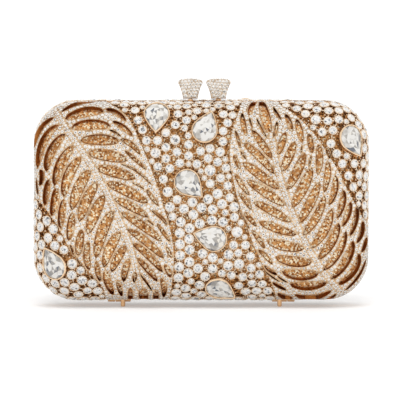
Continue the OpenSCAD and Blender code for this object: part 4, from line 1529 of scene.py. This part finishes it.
@dataclass(frozen=True)
class GlitterFinish:
    """Glitter cloth: flakes in many tones of rose gold, each tilted its own way, some painted bright as
    glints, with broad clouds of painted shade over it.
    """

    name: str
    deep: tuple = (0.24, 0.07, 0.012)
    middle: tuple = (0.88, 0.46, 0.17)
    # Colour of the flakes painted bright, as painted glints
    bright: tuple = (1.0, 0.88, 0.63)
    flakes: float = 1150.0
    hue_span: tuple = (0.0, 0.75)
    painted_glint_span: tuple = (0.64, 0.76)
    # Broad noise that paints shade over the cloth: its scale, its span and how dark it gets
    clouds: float = 90.0
    cloud_span: tuple = (0.35, 0.7)
    painted_cloud_shade: float = 0.35
    rough: tuple = (0.15, 0.5)
    metal_span: tuple = (0.4, 0.8)
    metal: tuple = (0.35, 0.85)
    gloss: float = 0.12
    bump: float = 0.9
    bump_h: float = 0.25 * MM

    def build(self) -> bpy.types.Material:
        """Makes the material.

        Returns:
            The new material.
        """
        material, nodes, shader = new_material(self.name)
        where = nodes.add("TexCoord").outputs["Object"]
        cells = nodes.add("TexVoronoi", Vector=where, Scale=self.flakes)
        hue, flash, tilt = nodes.add("SeparateColor", Color=cells.outputs["Color"]).outputs
        wide = nodes.add("TexNoise", Vector=where, Scale=self.clouds, Detail=3.0)
        base = nodes.mix(nodes.spread(hue, *self.hue_span), rgba(self.deep), rgba(self.middle))
        # Flakes with a high flash are painted bright: painted glints
        lit = nodes.mix(nodes.spread(flash, *self.painted_glint_span), base, rgba(self.bright))
        # Broad clouds darken the cloth towards the deep colour: painted shade
        shade = nodes.spread(wide.outputs["Fac"], *self.cloud_span, self.painted_cloud_shade, 0.0)
        nodes.fill(shader, Base_Color=nodes.mix(shade, lit, rgba(self.deep)),
                   Roughness=nodes.spread(tilt, 0, 1, *self.rough),
                   Metallic=nodes.spread(flash, *self.metal_span, *self.metal),
                   Specular_IOR_Level=self.gloss, Normal=nodes.bumped(tilt, self.bump, self.bump_h))
        return material


@dataclass(frozen=True)
class SatinFinish:
    """Champagne satin: a fine weave with a soft sheen along it, its colour painted darker in the folds as
    shade.
    """

    name: str
    base: tuple = (0.78, 0.64, 0.50)
    shade: tuple = (0.58, 0.44, 0.32)
    threads: float = 3200.0
    weave_share: float = 0.06
    folds: float = 45.0
    fold_span: tuple = (0.3, 0.75)
    painted_fold_shade: float = 0.7
    rough: tuple = (0.32, 0.48)
    sheen: float = 0.4
    bump: float = 0.35
    bump_h: float = 0.8 * MM

    def build(self) -> bpy.types.Material:
        """Makes the material.

        Returns:
            The new material.
        """
        material, nodes, shader = new_material(self.name)
        where = nodes.add("TexCoord").outputs["Object"]
        weave = nodes.add("TexWave", {"wave_type": "BANDS", "bands_direction": "DIAGONAL"}, Vector=where,
                          Scale=self.threads, Distortion=1.5, Detail=1.0).outputs["Fac"]
        fold = nodes.add("TexNoise", Vector=where, Scale=self.folds, Detail=2.0).outputs["Fac"]
        # The folds are painted towards the darker colour: painted shade in the creases
        share = nodes.math("MULTIPLY", nodes.spread(fold, *self.fold_span), self.painted_fold_shade)
        height = nodes.math("ADD", nodes.math("MULTIPLY", weave, self.weave_share), fold)
        nodes.fill(shader, Base_Color=nodes.mix(share, rgba(self.base), rgba(self.shade)),
                   Roughness=nodes.spread(weave, 0, 1, *self.rough), Sheen_Weight=self.sheen,
                   Normal=nodes.bumped(height, self.bump, self.bump_h))
        return material


@dataclass(frozen=True)
class Finishes:
    """All finishes of the bag, named for what they cover."""

    frame: PlatedFinish = PlatedFinish("frame_plating", (0.78, 0.50, 0.28), (0.50, 0.26, 0.11),
                                       scale=60, rough=0.2)
    # Cage: orange-gold plating whose near-black patches, over most of it, are painted shade between the
    # stones
    cage: PlatedFinish = PlatedFinish("cage_plating_and_painted_shade", (0.54, 0.26, 0.09), (0.05, 0.012, 0.002),
                                      amount=0.97, scale=750, rough=0.4)
    cup: PlatedFinish = PlatedFinish("cup_plating", (0.97, 0.82, 0.64), (0.70, 0.46, 0.27),
                                     amount=0.4, scale=420, rough=0.3, metal=0.55)
    leaf: PlatedFinish = PlatedFinish("leaf_plating", (0.76, 0.56, 0.36), (0.34, 0.18, 0.07),
                                      amount=0.65, scale=500, rough=0.35)
    # Gap walls: dark brown all over, painted shade on the leaning walls inside the leaves' gaps
    wall: PlatedFinish = PlatedFinish("wall_plating_painted_shade", (0.36, 0.13, 0.03), (0.14, 0.04, 0.008),
                                      amount=0.7, scale=300, rough=0.35)
    bezel: PlatedFinish = PlatedFinish("bezel_plating", (0.90, 0.68, 0.46), (0.62, 0.38, 0.20), scale=150)
    knob: PlatedFinish = PlatedFinish("knob_plating", (0.72, 0.58, 0.44), (0.36, 0.26, 0.17),
                                      amount=0.7, scale=420, rough=0.3)
    # Crystals: the colours that their facets' painted reflections run between
    crystal: CrystalFinish = CrystalFinish("cut_crystal")
    pear: CrystalFinish = CrystalFinish("pear_crystal", (0.86, 0.84, 0.80), (0.42, 0.39, 0.35),
                                        (0.15, 0.16, 0.19), (0.84, 0.78, 0.68), streak=160.0)
    small: CrystalFinish = CrystalFinish("pavement_crystal", (0.90, 0.88, 0.85), (0.48, 0.45, 0.41),
                                         (0.17, 0.14, 0.12), (0.88, 0.80, 0.69))
    glitter: GlitterFinish = GlitterFinish("glitter_cloth")
    satin: SatinFinish = SatinFinish("champagne_satin")

    def built(self) -> dict:
        """All materials by the name of their field."""
        return {name: getattr(self, name).build() for name in self.__dataclass_fields__}


@dataclass
class HalfPieces:
    """What makes pieces of one half: the half, the setting and the finishes."""

    half: Half
    setting: StoneSetting
    finish: dict

    @property
    def body(self) -> str:
        """Name of the body that the pieces ride on."""
        return f"{self.half.value}_half"

    def named(self, part: str) -> str:
        """Full name of a piece of this half."""
        return f"{self.half.value}_{part}"

    def piece(self, build: MeshBuild, part: str, finish: str, slot: str, *nodes: str,
              smooth: bool = False) -> None:
        """Makes a piece of a gathered mesh and puts it on its body.

        Args:
            build: The gathered mesh.
            part: The piece's name without the half.
            finish: Name of its finish.
            slot: Its material slot in the record; not used.
            nodes: CAD nodes that it replaces, without the half.
            smooth: Whether its faces are shaded as one curve.
        """
        name = self.named(part)
        made = linked(name, build.mesh(name, self.half, self.setting.shell.mid_z, smooth))
        made.data.materials.append(self.finish[finish])
        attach(made, self.body)
        if nodes:
            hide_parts(*(self.named(node) for node in nodes))
        log.info("%s rides on %s, %d faces", name, self.body, len(made.data.polygons))


@dataclass
class HalfShell(HalfPieces):
    """One half of the bag: pierced cage, leaves, stones, glitter cloth and lining."""

    # Heights over the metal surface, and distances of the points that carry the plates' curve
    liner: tuple = (-1.8 * MM, -1.0 * MM)
    lining: tuple = (-2.7 * MM, -2.0 * MM)
    plate_grid: float = 2.2 * MM
    cloth_grid: float = 3 * MM
    lining_grid: float = 1.1 * MM
    pucker: float = 0.8 * MM
    puckers: int = 80
    pucker_from: float = 0.5
    pucker_rise: float = 2.2
    pucker_sway: tuple = (2, 5)
    # Cups, their stones and the bars between them
    cup_h: float = 0.9 * MM
    cup_foot_r: float = 0.92
    cup_top_r: float = 0.985
    cup_belly: float = 0.7
    cup_sides: int = 18
    crown_h: float = 0.95 * MM
    stone_sink: float = 0.5 * MM
    prong_r: float = 0.4 * MM
    prong_form: tuple = (1.25, 0.8, 1.1)
    prong_in: float = 0.8
    prong_sink: float = 0.1 * MM
    bridge_r: float = 0.3 * MM
    bridge_z: float = 0.5 * MM
    opening_sides: int = 9
    opening_rough: tuple = (0.8, 1.0)
    # Lips, walls and small stones of the leaves
    pave_sink: float = 0.1 * MM
    pave_h: float = 0.4 * MM
    lip_h: float = 0.16 * MM
    lip_sink: float = 0.1 * MM
    wall_edge: float = 0.05 * MM
    wall_foot: float = 0.04 * MM
    # Bezels: outward and height of their section's corners, then what bounds the search for their foot
    bezel: tuple = ((0.0, 0.5), (0.0, 1.45), (0.22, 1.62), (0.5, 1.56), (0.7, 1.2))
    bezel_points: int = 56
    skirt_reach: float = 9 * MM
    skirt_sink: float = 0.3 * MM

    def build(self) -> None:
        """Builds all pieces of the half."""
        self.build_cage()
        for leaf in LEAVES:
            self.build_leaf(leaf)
        self.build_rounds()
        self.build_pears()
        self.build_cloth()

    def plate(self, outer: np.ndarray, holes: list, low: float, high: float, grid: float) -> MeshBuild:
        """A plate of the shell as a gathered mesh."""
        return MeshBuild().add(*sheet_mesh(self.setting.shell, outer, holes, low, high, grid))

    def stamped(self, form: Stamp, places: list, lift: float, share: float,
                height: float = 0) -> MeshBuild:
        """A form set over many places.

        Args:
            form: The form.
            places: Places on the rolled-out surface, each with a radius.
            lift: Height of its foot above the metal surface.
            share: Its height for a radius of one.
            height: What is added to that.
        Returns:
            The gathered mesh.
        """
        build, s = MeshBuild(), self.setting
        for place, r in places:
            form.set_in(build, s.shell.seat(place, lift), np.array([r, r, height + share * r]), s.rng)
        return build

    def build_cage(self) -> None:
        """The cage between the leaves, pierced where stones leave room, with beads and bars of metal."""
        s, n = self.setting, self.opening_sides
        holes = list(s.leaves.values())
        for place, size in s.openings:
            loop = ring(n, size, 0, s.rng.random())[:, :2]
            holes.append(place + loop * s.rng.uniform(*self.opening_rough, (n, 1)))
        cage = self.plate(s.rim, holes, s.leaf_low, s.cage_high, self.plate_grid)
        self.piece(cage, "pierced_cage", "cage", "cage_gold", "cage")
        beads, form = self.stamped(bead(8, 3), s.beads, 0, 1), bar()
        for a, b in s.bridges:
            middle, along = (a + b) / 2, unit(b - a)
            out = s.shell.outward(middle[None])[0]
            seat = (middle + self.bridge_z * out, along, np.cross(out, along), out)
            reach = np.linalg.norm(b - a) / 2 + s.cup_wall / 2
            form.set_in(beads, seat, np.array([reach, self.bridge_r, self.bridge_r]), s.rng, 0)
        self.piece(beads, "cage_beads", "cup", "cage_gold", smooth=True)

    def build_leaf(self, leaf: LeafPattern) -> None:
        """A leaf's pierced plate, the walls of its gaps, its small stones and the beads that hold them.

        Args:
            leaf: The leaf.
        """
        s, name = self.setting, leaf.name
        build = self.plate(s.leaves[name], s.gaps[name], s.leaf_low, s.leaf_high, self.plate_grid)
        low, high = s.leaf_high - self.lip_sink, s.leaf_high + self.lip_h
        cloth = self.liner[1] + self.wall_foot
        # Leaning walls from each gap's edge down to the cloth, in a finish that paints their shade
        walls = MeshBuild()
        for gap in s.gaps[name]:
            outer, edge = s.lip_line(gap), s.moved_out(gap, -self.wall_edge)
            self.wall(build, [(gap, low), (gap, high), (outer, high), (outer, low)], True)
            self.wall(walls, [(s.foot_line(gap), cloth), (edge, high), (gap, high), (gap, cloth)], True)
        for inner, outer in s.spine_walls(leaf):
            self.wall(build, [(inner, low), (inner, high), (outer, high), (outer, low)], False)
        self.piece(build, name + "_plate", "leaf", "leaf_gold", name)
        self.piece(walls, name + "_gap_walls", "wall", "leaf_gold")
        stones, beads = s.pave[name]
        made = self.stamped(small_cut(), stones, s.leaf_high - self.pave_sink, 0, self.pave_h)
        self.piece(made, name + "_pavement", "small", "crystal")
        made = self.stamped(bead(5, 2), beads, s.leaf_high, 1.3)
        self.piece(made, name + "_beads", "leaf", "leaf_gold", smooth=True)

    def wall(self, build: MeshBuild, rows: list, closed: bool) -> None:
        """A low wall along a line of a leaf.

        Args:
            build: The mesh that takes it.
            rows: Its four edges, each a line on the rolled-out surface and a height above it.
            closed: Whether the wall is a ring.
        """
        n = len(rows[0][0])
        faces = turned(skin(4, n, closed=closed))
        if not closed:
            faces += [(0, n, 2 * n, 3 * n), (4 * n - 1, 3 * n - 1, 2 * n - 1, n - 1)]
        build.add(np.vstack([self.setting.shell.at(line, z) for line, z in rows]), faces)

    def build_rounds(self) -> None:
        """Round stones in their cups, held by four prongs each."""
        s, h = self.setting, self.cup_h
        stone, prong = brilliant(), bead(6, 3)
        stones, cups = MeshBuild(), MeshBuild()
        for place, size in s.rounds:
            r = size - s.cup_wall
            inner = 1 - s.cup_wall / size
            outside = [(self.cup_foot_r, 0), (1, h * self.cup_belly), (self.cup_top_r, h)]
            cup = lathe([*outside, (inner, h), (inner, 0)], self.cup_sides)
            point, *ways = s.shell.seat(place)
            spin = s.rng.uniform(0, 2 * math.pi)
            cup.set_in(cups, (point, *ways), np.array([size, size, 1]), s.rng, spin)
            seat = (point + self.stone_sink * ways[2], *ways)
            stone.set_in(stones, seat, np.array([r, r, self.crown_h]), s.rng)
            for turn in (spin + k * math.pi / 2 for k in range(4)):
                way = math.cos(turn) * ways[0] + math.sin(turn) * ways[1]
                tip = point + (size - self.prong_in * self.prong_r) * way + (h - self.prong_sink) * ways[2]
                prong.set_in(cups, (tip, *ways), np.array(self.prong_form) * self.prong_r, s.rng, turn)
        self.piece(cups, "prong_cups", "cup", "cage_gold", "round_cups", smooth=True)
        self.piece(stones, "round_stones", "crystal", "crystal", "round_crystals")

    def build_pears(self) -> None:
        """Pear stones with their bezels, whose skirts run down to the cage."""
        s, count = self.setting, self.bezel_points
        bezels, stones = MeshBuild(), MeshBuild()
        for seat in s.pears:
            rows = [
                s.pear_at(seat, s.pear_line(out * MM, s.tip_share * out * MM, count), z * MM)
                for out, z in self.bezel
            ]
            rows += [self.skirt(rows[-1], seat), self.skirt(rows[0], seat)]
            bezels.add(np.vstack(rows), turned(skin(len(rows), count)))
            self.pear_stone(stones, seat)
        self.piece(bezels, "pear_settings", "bezel", "bezel_gold", "pear_bezels", smooth=True)
        self.piece(stones, "pear_stones", "pear", "crystal", "pear_crystals")

    def skirt(self, line: np.ndarray, seat: tuple) -> np.ndarray:
        """Where a bezel's wall meets the cage below a line of points.

        Args:
            line: The points.
            seat: The bezel's seat.
        Returns:
            The points below them, a little inside the cage.
        """
        shell, low, high = self.setting.shell, np.zeros(len(line)), np.full(len(line), self.skirt_reach)
        for _ in range(20):
            middle = (low + high) / 2
            outside = shell.offset_of(line - middle[:, None] * seat[3]) > -self.skirt_sink
            low, high = np.where(outside, middle, low), np.where(outside, high, middle)
        return line - high[:, None] * seat[3]

    def pear_stone(self, build: MeshBuild, seat: tuple, m: int = 9) -> None:
        """A pear stone: girdle, three rings of crown facets and the point where they meet.

        Args:
            build: The mesh that takes it.
            seat: Its seat.
            m: Half the number of facets at its girdle.
        """
        s = self.setting
        line = s.pear_line(*(far * MM for far in PEAR_INSET), 2 * m)
        middle = np.array([s.pear_middle * PEAR_CENTRE, 0])
        rows = [s.pear_at(seat, line, z * MM) for z in PEAR_GIRDLE]
        for share, first, z in PEAR_CROWN:
            drawn = middle + share * (line - middle)
            rows.append(s.pear_at(seat, drawn[first::2], z * MM))
        rows.append(s.pear_at(seat, middle[None], PEAR_TOP * MM))
        g, a, b, c, top = 2 * m, 4 * m, 5 * m, 6 * m, 7 * m
        faces = []
        for k in range(m):
            on, back = (k + 1) % m, (k - 1) % m
            faces += [
                (b + k, a + k, b + on), (b + k, a + back, g + 2 * k, a + k),
                (a + k, g + 2 * k, g + 2 * k + 1), (a + k, g + 2 * k + 1, g + (2 * k + 2) % (2 * m)),
                (c + k, b + k, b + on), (c + back, b + k, c + k), (c + back, c + k, top),
            ]
        faces += [*skin(2, 2 * m, joined=False), tuple(range(2 * m - 1, -1, -1))]
        kinds = [*PEAR_TONES] * m + [SIDE_TONE] * (2 * m + 1)
        build.add(np.vstack(rows), faces, toned(kinds, s.rng))

    def build_cloth(self) -> None:
        """Glitter cloth behind the cage, and a satin lining that puckers towards the rim."""
        s = self.setting
        build = self.plate(s.rim, [], *self.liner, self.cloth_grid)
        self.piece(build, "glitter_cloth", "glitter", "glitter_cloth", "liner", smooth=True)
        points, faces = sheet_mesh(s.shell, s.rim, [], *self.lining, self.lining_grid)
        low = points[len(points) // 2:]
        u = s.shell.apart(low[:, :2])[2]
        turn = np.arctan2(low[:, 1] / s.shell.half_h, low[:, 0] / s.shell.half_w)
        near_rim = np.clip((u / s.shell.band + self.pucker_from) / (1 + self.pucker_from), 0, 1)
        far, often = self.pucker_sway
        folds = np.abs(np.sin(turn * self.puckers / 2 + far * np.sin(often * turn)))
        wave = self.pucker * near_rim**self.pucker_rise * folds
        low -= s.shell.outward(low) * wave[:, None]
        build = MeshBuild().add(points, faces)
        self.piece(build, "satin_lining", "satin", "satin_lining", "lining", smooth=True)


@dataclass
class ClaspKnob(HalfPieces):
    """One knob of the kiss clasp: a fan with smooth sides and crystals on its faces and crown."""

    edge: float = 0.5 * MM
    foot_share: float = 0.62
    flare: float = 1.7
    crown: float = 1.06 * MM
    crown_sink: float = 0.3 * MM
    face_sink: float = 0.12 * MM
    crown_w: float = 0.38
    # Corners between side and top: share of the width, then crowns inward and crowns down
    shoulder: tuple = ((0.5, 0.1, 1.2), (0.5, 0.75, 0.6), (0.3, 0, 0.2), (0.15, 0, 0))
    # The top: shares of the width from the middle, and how many crowns it has dropped there
    top_knots: tuple = (0, 0.15, 0.3, 0.44)
    top_drops: tuple = (0, 0, 0.2, 0.6)
    step: float = 0.15 * MM
    line_step: float = 0.2 * MM
    slope_step: float = 0.1 * MM
    crown_over: tuple = (0.2 * MM, -0.1 * MM)
    pave_sizes: tuple = (1.25 * MM, 0.85 * MM, 0.65 * MM, 0.5 * MM, 0.4 * MM)
    largest: int = 2
    pave_gap: float = 0.05 * MM
    pave_h: float = 0.5 * MM
    bead_form: tuple = (0.2 * MM, 0.2 * MM, 0.35 * MM)
    bead_taken: float = 0.32 * MM
    band: float = 1.1 * MM

    def __post_init__(self) -> None:
        """Takes place and size from the frame."""
        low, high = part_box(f"{self.half.value}_knob")
        side = 1 if self.half is Half.FRONT else -1
        self.x = side * (low.x + high.x) / 2
        self.y = low.z - self.setting.shell.mid_z
        self.width, self.depth = high.x - low.x, high.y - low.y
        self.height = high.z - low.z - self.pave_h + self.crown_sink
        self.side_h = self.height - 2 * self.crown
        self.stones, self.beads = MeshBuild(), MeshBuild()
        self.foot = self.foot_share * self.width

    @property
    def body(self) -> str:
        """Name of the body that the pieces ride on."""
        return f"{self.half.value}_clasp_knob"

    def half_at(self, y: np.ndarray) -> np.ndarray:
        """The fan's half width at heights over the foot, below its shoulder."""
        t = np.clip(y / self.side_h, 0, 1)
        return self.foot / 2 + (self.width - self.foot) / 2 * t**self.flare

    def top_at(self, x: np.ndarray) -> np.ndarray:
        """Height of the crown over the foot at distances from the knob's middle."""
        heights = self.height - np.array(self.top_drops) * self.crown
        return np.interp(np.abs(x), np.array(self.top_knots) * self.width, heights)

    def outline(self) -> np.ndarray:
        """The fan's outline, from the foot round to the left.

        Returns:
            The outline's points.
        """
        rise = np.linspace(0, 1, 9) * self.side_h
        corner = [
            (w * self.width - x * self.crown, self.height - y * self.crown) for w, x, y in self.shoulder
        ]
        right = np.vstack([np.column_stack([self.half_at(rise), rise]), corner])
        return np.vstack([right, (right * (-1, 1))[::-1]]) + (self.x, self.y)

    def fan(self, line: np.ndarray) -> MeshBuild:
        """The solid fan with rounded edges.

        Args:
            line: Its outline.
        Returns:
            The gathered mesh.
        """
        shape = bmesh.new()
        face = shape.faces.new([shape.verts.new((x, y, self.depth / 2)) for x, y in line])
        grown = bmesh.ops.extrude_face_region(shape, geom=[face])
        moved = [v for v in grown["geom"] if isinstance(v, bmesh.types.BMVert)]
        bmesh.ops.translate(shape, verts=moved, vec=(0, 0, -self.depth))
        bmesh.ops.recalc_face_normals(shape, faces=shape.faces)
        ends = [e for e in shape.edges if abs(e.verts[0].co.z - e.verts[1].co.z) < self.edge / 2]
        bmesh.ops.bevel(shape, geom=ends, offset=self.edge, segments=3, profile=0.5, affect="EDGES")
        bmesh.ops.triangulate(shape, faces=[f for f in shape.faces if len(f.verts) > 4])
        shape.verts.index_update()
        points = np.array([v.co for v in shape.verts])
        faces = [tuple(v.index for v in f.verts) for f in shape.faces]
        shape.free()
        return MeshBuild().add(points, faces)

    def build(self) -> None:
        """Builds the fan and its stones."""
        line = self.outline()
        self.piece(self.fan(line), "clasp_fan", "knob", "bezel_gold", "knob")
        for side in (1, -1):
            self.pave_face(line, side)
        self.pave_crown()
        self.piece(self.stones, "clasp_pavement", "small", "crystal", "knob_crystals")
        self.piece(self.beads, "clasp_beads", "knob", "bezel_gold", smooth=True)

    def pave_face(self, line: np.ndarray, side: int) -> None:
        """Packs stones of mixed sizes over one flat face, on the back knob beside a smooth band.

        Args:
            line: The fan's outline.
            side: 1 for the outer face and -1 for the inner one.
        """
        chart = grid_over(line.min(0), line.max(0), self.step)
        chart = chart[inside(chart, line)]
        if self.half is Half.BACK:
            reach = self.x + self.half_at(chart[:, 1] - self.y) - self.band
            chart = chart[(chart[:, 0] < reach) | (chart[:, 1] > self.y + self.side_h)]
        z = side * self.depth / 2
        room = Room(chart, np.column_stack([chart, np.full(len(chart), z)]), self.width)
        edge = resampled(line, self.line_step)
        room.keep_from(np.column_stack([edge, np.full(len(edge), z)]))
        ways = np.diag((1.0, side, side))
        self.pave(room, [(point, *ways) for point in room.points], self.face_sink)

    def pave_crown(self) -> None:
        """Packs stones over the top."""
        far = np.array([self.crown_w * self.width, self.depth / 2 - self.edge])
        chart = grid_over(-far, far, self.step)
        points = np.column_stack([chart[:, 0] + self.x, self.y + self.top_at(chart[:, 0]), chart[:, 1]])
        room = Room(chart, points, self.width)
        for k, half in enumerate((far[0], self.depth / 2)):
            room.put(half - np.abs(room.chart[:, k]) + self.crown_over[k])
        x, reach = room.chart[:, 0], self.slope_step
        slope = (self.top_at(x + reach) - self.top_at(x - reach)) / (2 * reach)
        along = unit(np.column_stack([np.ones(len(x)), slope, np.zeros(len(x))]))
        out = np.column_stack([left_of(along), np.zeros(len(x))])
        self.pave(room, list(zip(room.points, along, np.cross(out, along), out)), self.crown_sink)

    def pave(self, room: Room, seats: list, sink: float) -> None:
        """Packs stones and beads.

        Args:
            room: The candidates.
            seats: The seat of each candidate.
            sink: How deep a stone is sunk into the metal.
        """
        rng, form = self.setting.rng, small_cut(sides=10)
        for rank, size in enumerate(self.pave_sizes):
            wide, limit = size + self.pave_gap, None if rank else self.largest
            for i in islice(room.packed(wide, wide), limit):
                point, *ways = seats[i]
                seat = (point - sink * ways[2], *ways)
                form.set_in(self.stones, seat, np.array([size, size, self.pave_h]), rng)
        form = bead(sides=5, rows=2)
        for i in room.packed(self.bead_form[0], self.bead_taken):
            form.set_in(self.beads, seats[i], np.array(self.bead_form), rng)


class Fittings:
    """The rims, hinges, feet, sockets and stems that come from the frame as they are."""

    slots = {
        "frame": ("front_rim", "back_rim", "front_hinge_leaf_left", "front_hinge_leaf_right",
                  "back_hinge_leaf_left", "back_hinge_leaf_right", "front_feet", "back_feet",
                  "front_clasp_socket", "back_clasp_socket"),
        "bezel": ("hinge_pin_left", "hinge_pin_right"),
        "knob": ("front_knob_stem", "back_knob_stem"),
    }

    def dress(self, finish: dict) -> None:
        """Gives each piece its plating.

        Args:
            finish: The materials by name.
        """
        for name, nodes in self.slots.items():
            for node in nodes:
                for slot in frame["nodes"][node].material_slots:
                    slot.material = finish[name]
                log.info("%s dressed in %s", node, name)


@dataclass
class Stage:
    """Floor, light and camera: a bright product photograph from a little above."""

    view: PhotoView
    shell: ShellForm
    lens: float = 800.0
    sensor: float = 36.0
    foot_depth: float = 5.1 * MM
    floor_size: float = 30.0
    floor_colour: tuple = (0.8, 0.8, 0.8)
    floor_glow: float = 0.32
    ambient: float = 0.5
    clip: tuple = (0.1, 300.0)
    # Name, direction, width in degrees and strength of each lamp
    suns: tuple = (
        ("key", (-0.14, -0.8, 1.3), 35, 1.2),
        ("top", (0, 0.4, 1.0), 30, 0.5),
        ("fill", (0.9, -0.7, 0.9), 50, 0.5),
    )

    def build(self) -> None:
        """Builds floor, world, lamps and camera."""
        self.build_floor()
        self.build_world()
        for sun in self.suns:
            self.sun(*sun)
        self.build_camera()
        bpy.context.scene.view_settings.view_transform = "Standard"

    def seen(self, nodes: Nodes) -> bpy.types.NodeSocket:
        """One for rays that show the background: from the camera, in gloss and through glass.

        Args:
            nodes: Calls for the tree that asks.
        Returns:
            The output socket.
        """
        path = nodes.add("LightPath").outputs
        both = nodes.math("MAXIMUM", path["Is Camera Ray"], path["Is Glossy Ray"])
        return nodes.math("MAXIMUM", both, path["Is Transmission Ray"])

    def build_floor(self) -> None:
        """A white floor that keeps the object's shadow."""
        mesh, r = bpy.data.meshes.new("floor"), self.floor_size
        mesh.from_pydata([(-r, -r, 0), (r, -r, 0), (r, r, 0), (-r, r, 0)], [], [(0, 1, 2, 3)])
        floor = linked("floor", mesh)
        material, nodes, shader = new_material("white_floor")
        nodes.fill(shader, Base_Color=rgba(self.floor_colour), Roughness=1.0, Specular_IOR_Level=0.0,
                   Emission_Color=(1, 1, 1, 1),
                   Emission_Strength=nodes.math("MULTIPLY", self.seen(nodes), self.floor_glow))
        mesh.materials.append(material)
        floor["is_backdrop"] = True

    def build_world(self) -> None:
        """White all round, and dimmer where it only lights the object."""
        world = bpy.data.worlds.new("studio")
        bpy.context.scene.world = world
        world.use_nodes = True
        nodes = Nodes(world.node_tree)
        nodes.fill(world.node_tree.nodes["Background"], Color=(1, 1, 1, 1),
                   Strength=nodes.spread(self.seen(nodes), 0, 1, self.ambient, 1))

    def sun(self, name: str, place: tuple, spread: float, strength: float) -> None:
        """A soft, distant lamp that shines on floor and bag alike.

        Args:
            name: Its name.
            place: The direction that it stands in.
            spread: How wide it looks, in degrees.
            strength: Its strength.
        """
        light = bpy.data.lights.new(name, "SUN")
        light.angle, light.energy = math.radians(spread), strength
        lamp = linked(name, light)
        lamp.location = place
        lamp.rotation_euler = (-lamp.location).to_track_quat("-Z", "Y").to_euler()
        lamp.visible_glossy = False

    def build_camera(self) -> None:
        """A long lens that frames the bag as the photograph does."""
        scale = self.view.scale(self.shell)
        tilt, middle = self.view.tilt, self.view.frame_px / 2
        x = (middle - (self.view.left_px + self.view.right_px) / 2) * scale
        drop = (self.view.foot_px - middle) * scale
        z = (drop - self.foot_depth * math.sin(tilt)) / math.cos(tilt)
        far = self.view.frame_px * scale * self.lens / self.sensor
        data = bpy.data.cameras.new("camera")
        data.lens, data.sensor_width = self.lens, self.sensor
        data.clip_start, data.clip_end = self.clip
        camera = linked("camera", data)
        camera.location = (x, -far * math.cos(tilt), z + far * math.sin(tilt))
        camera.rotation_euler = (math.pi / 2 - tilt, 0, 0)
        bpy.context.scene.camera = camera


def save_sizes() -> None:
    """Gathers the CAD box and the visual model's box into a table that it does not keep."""
    boxes = {"cad": cad_box, "visual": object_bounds()}
    {name: [list(low), list(high)] for name, (low, high) in boxes.items()}


def main() -> None:
    """Builds the dressed clutch around the frame."""
    logging.basicConfig(level=logging.INFO, format="%(message)s")
    finish = Finishes().built()
    setting = StoneSetting()
    Stage(setting.view, setting.shell).build()
    for half in Half:
        HalfShell(half, setting, finish).build()
        ClaspKnob(half, setting, finish).build()
    Fittings().dress(finish)
    save_sizes()


if __name__ == "__main__":
    main()
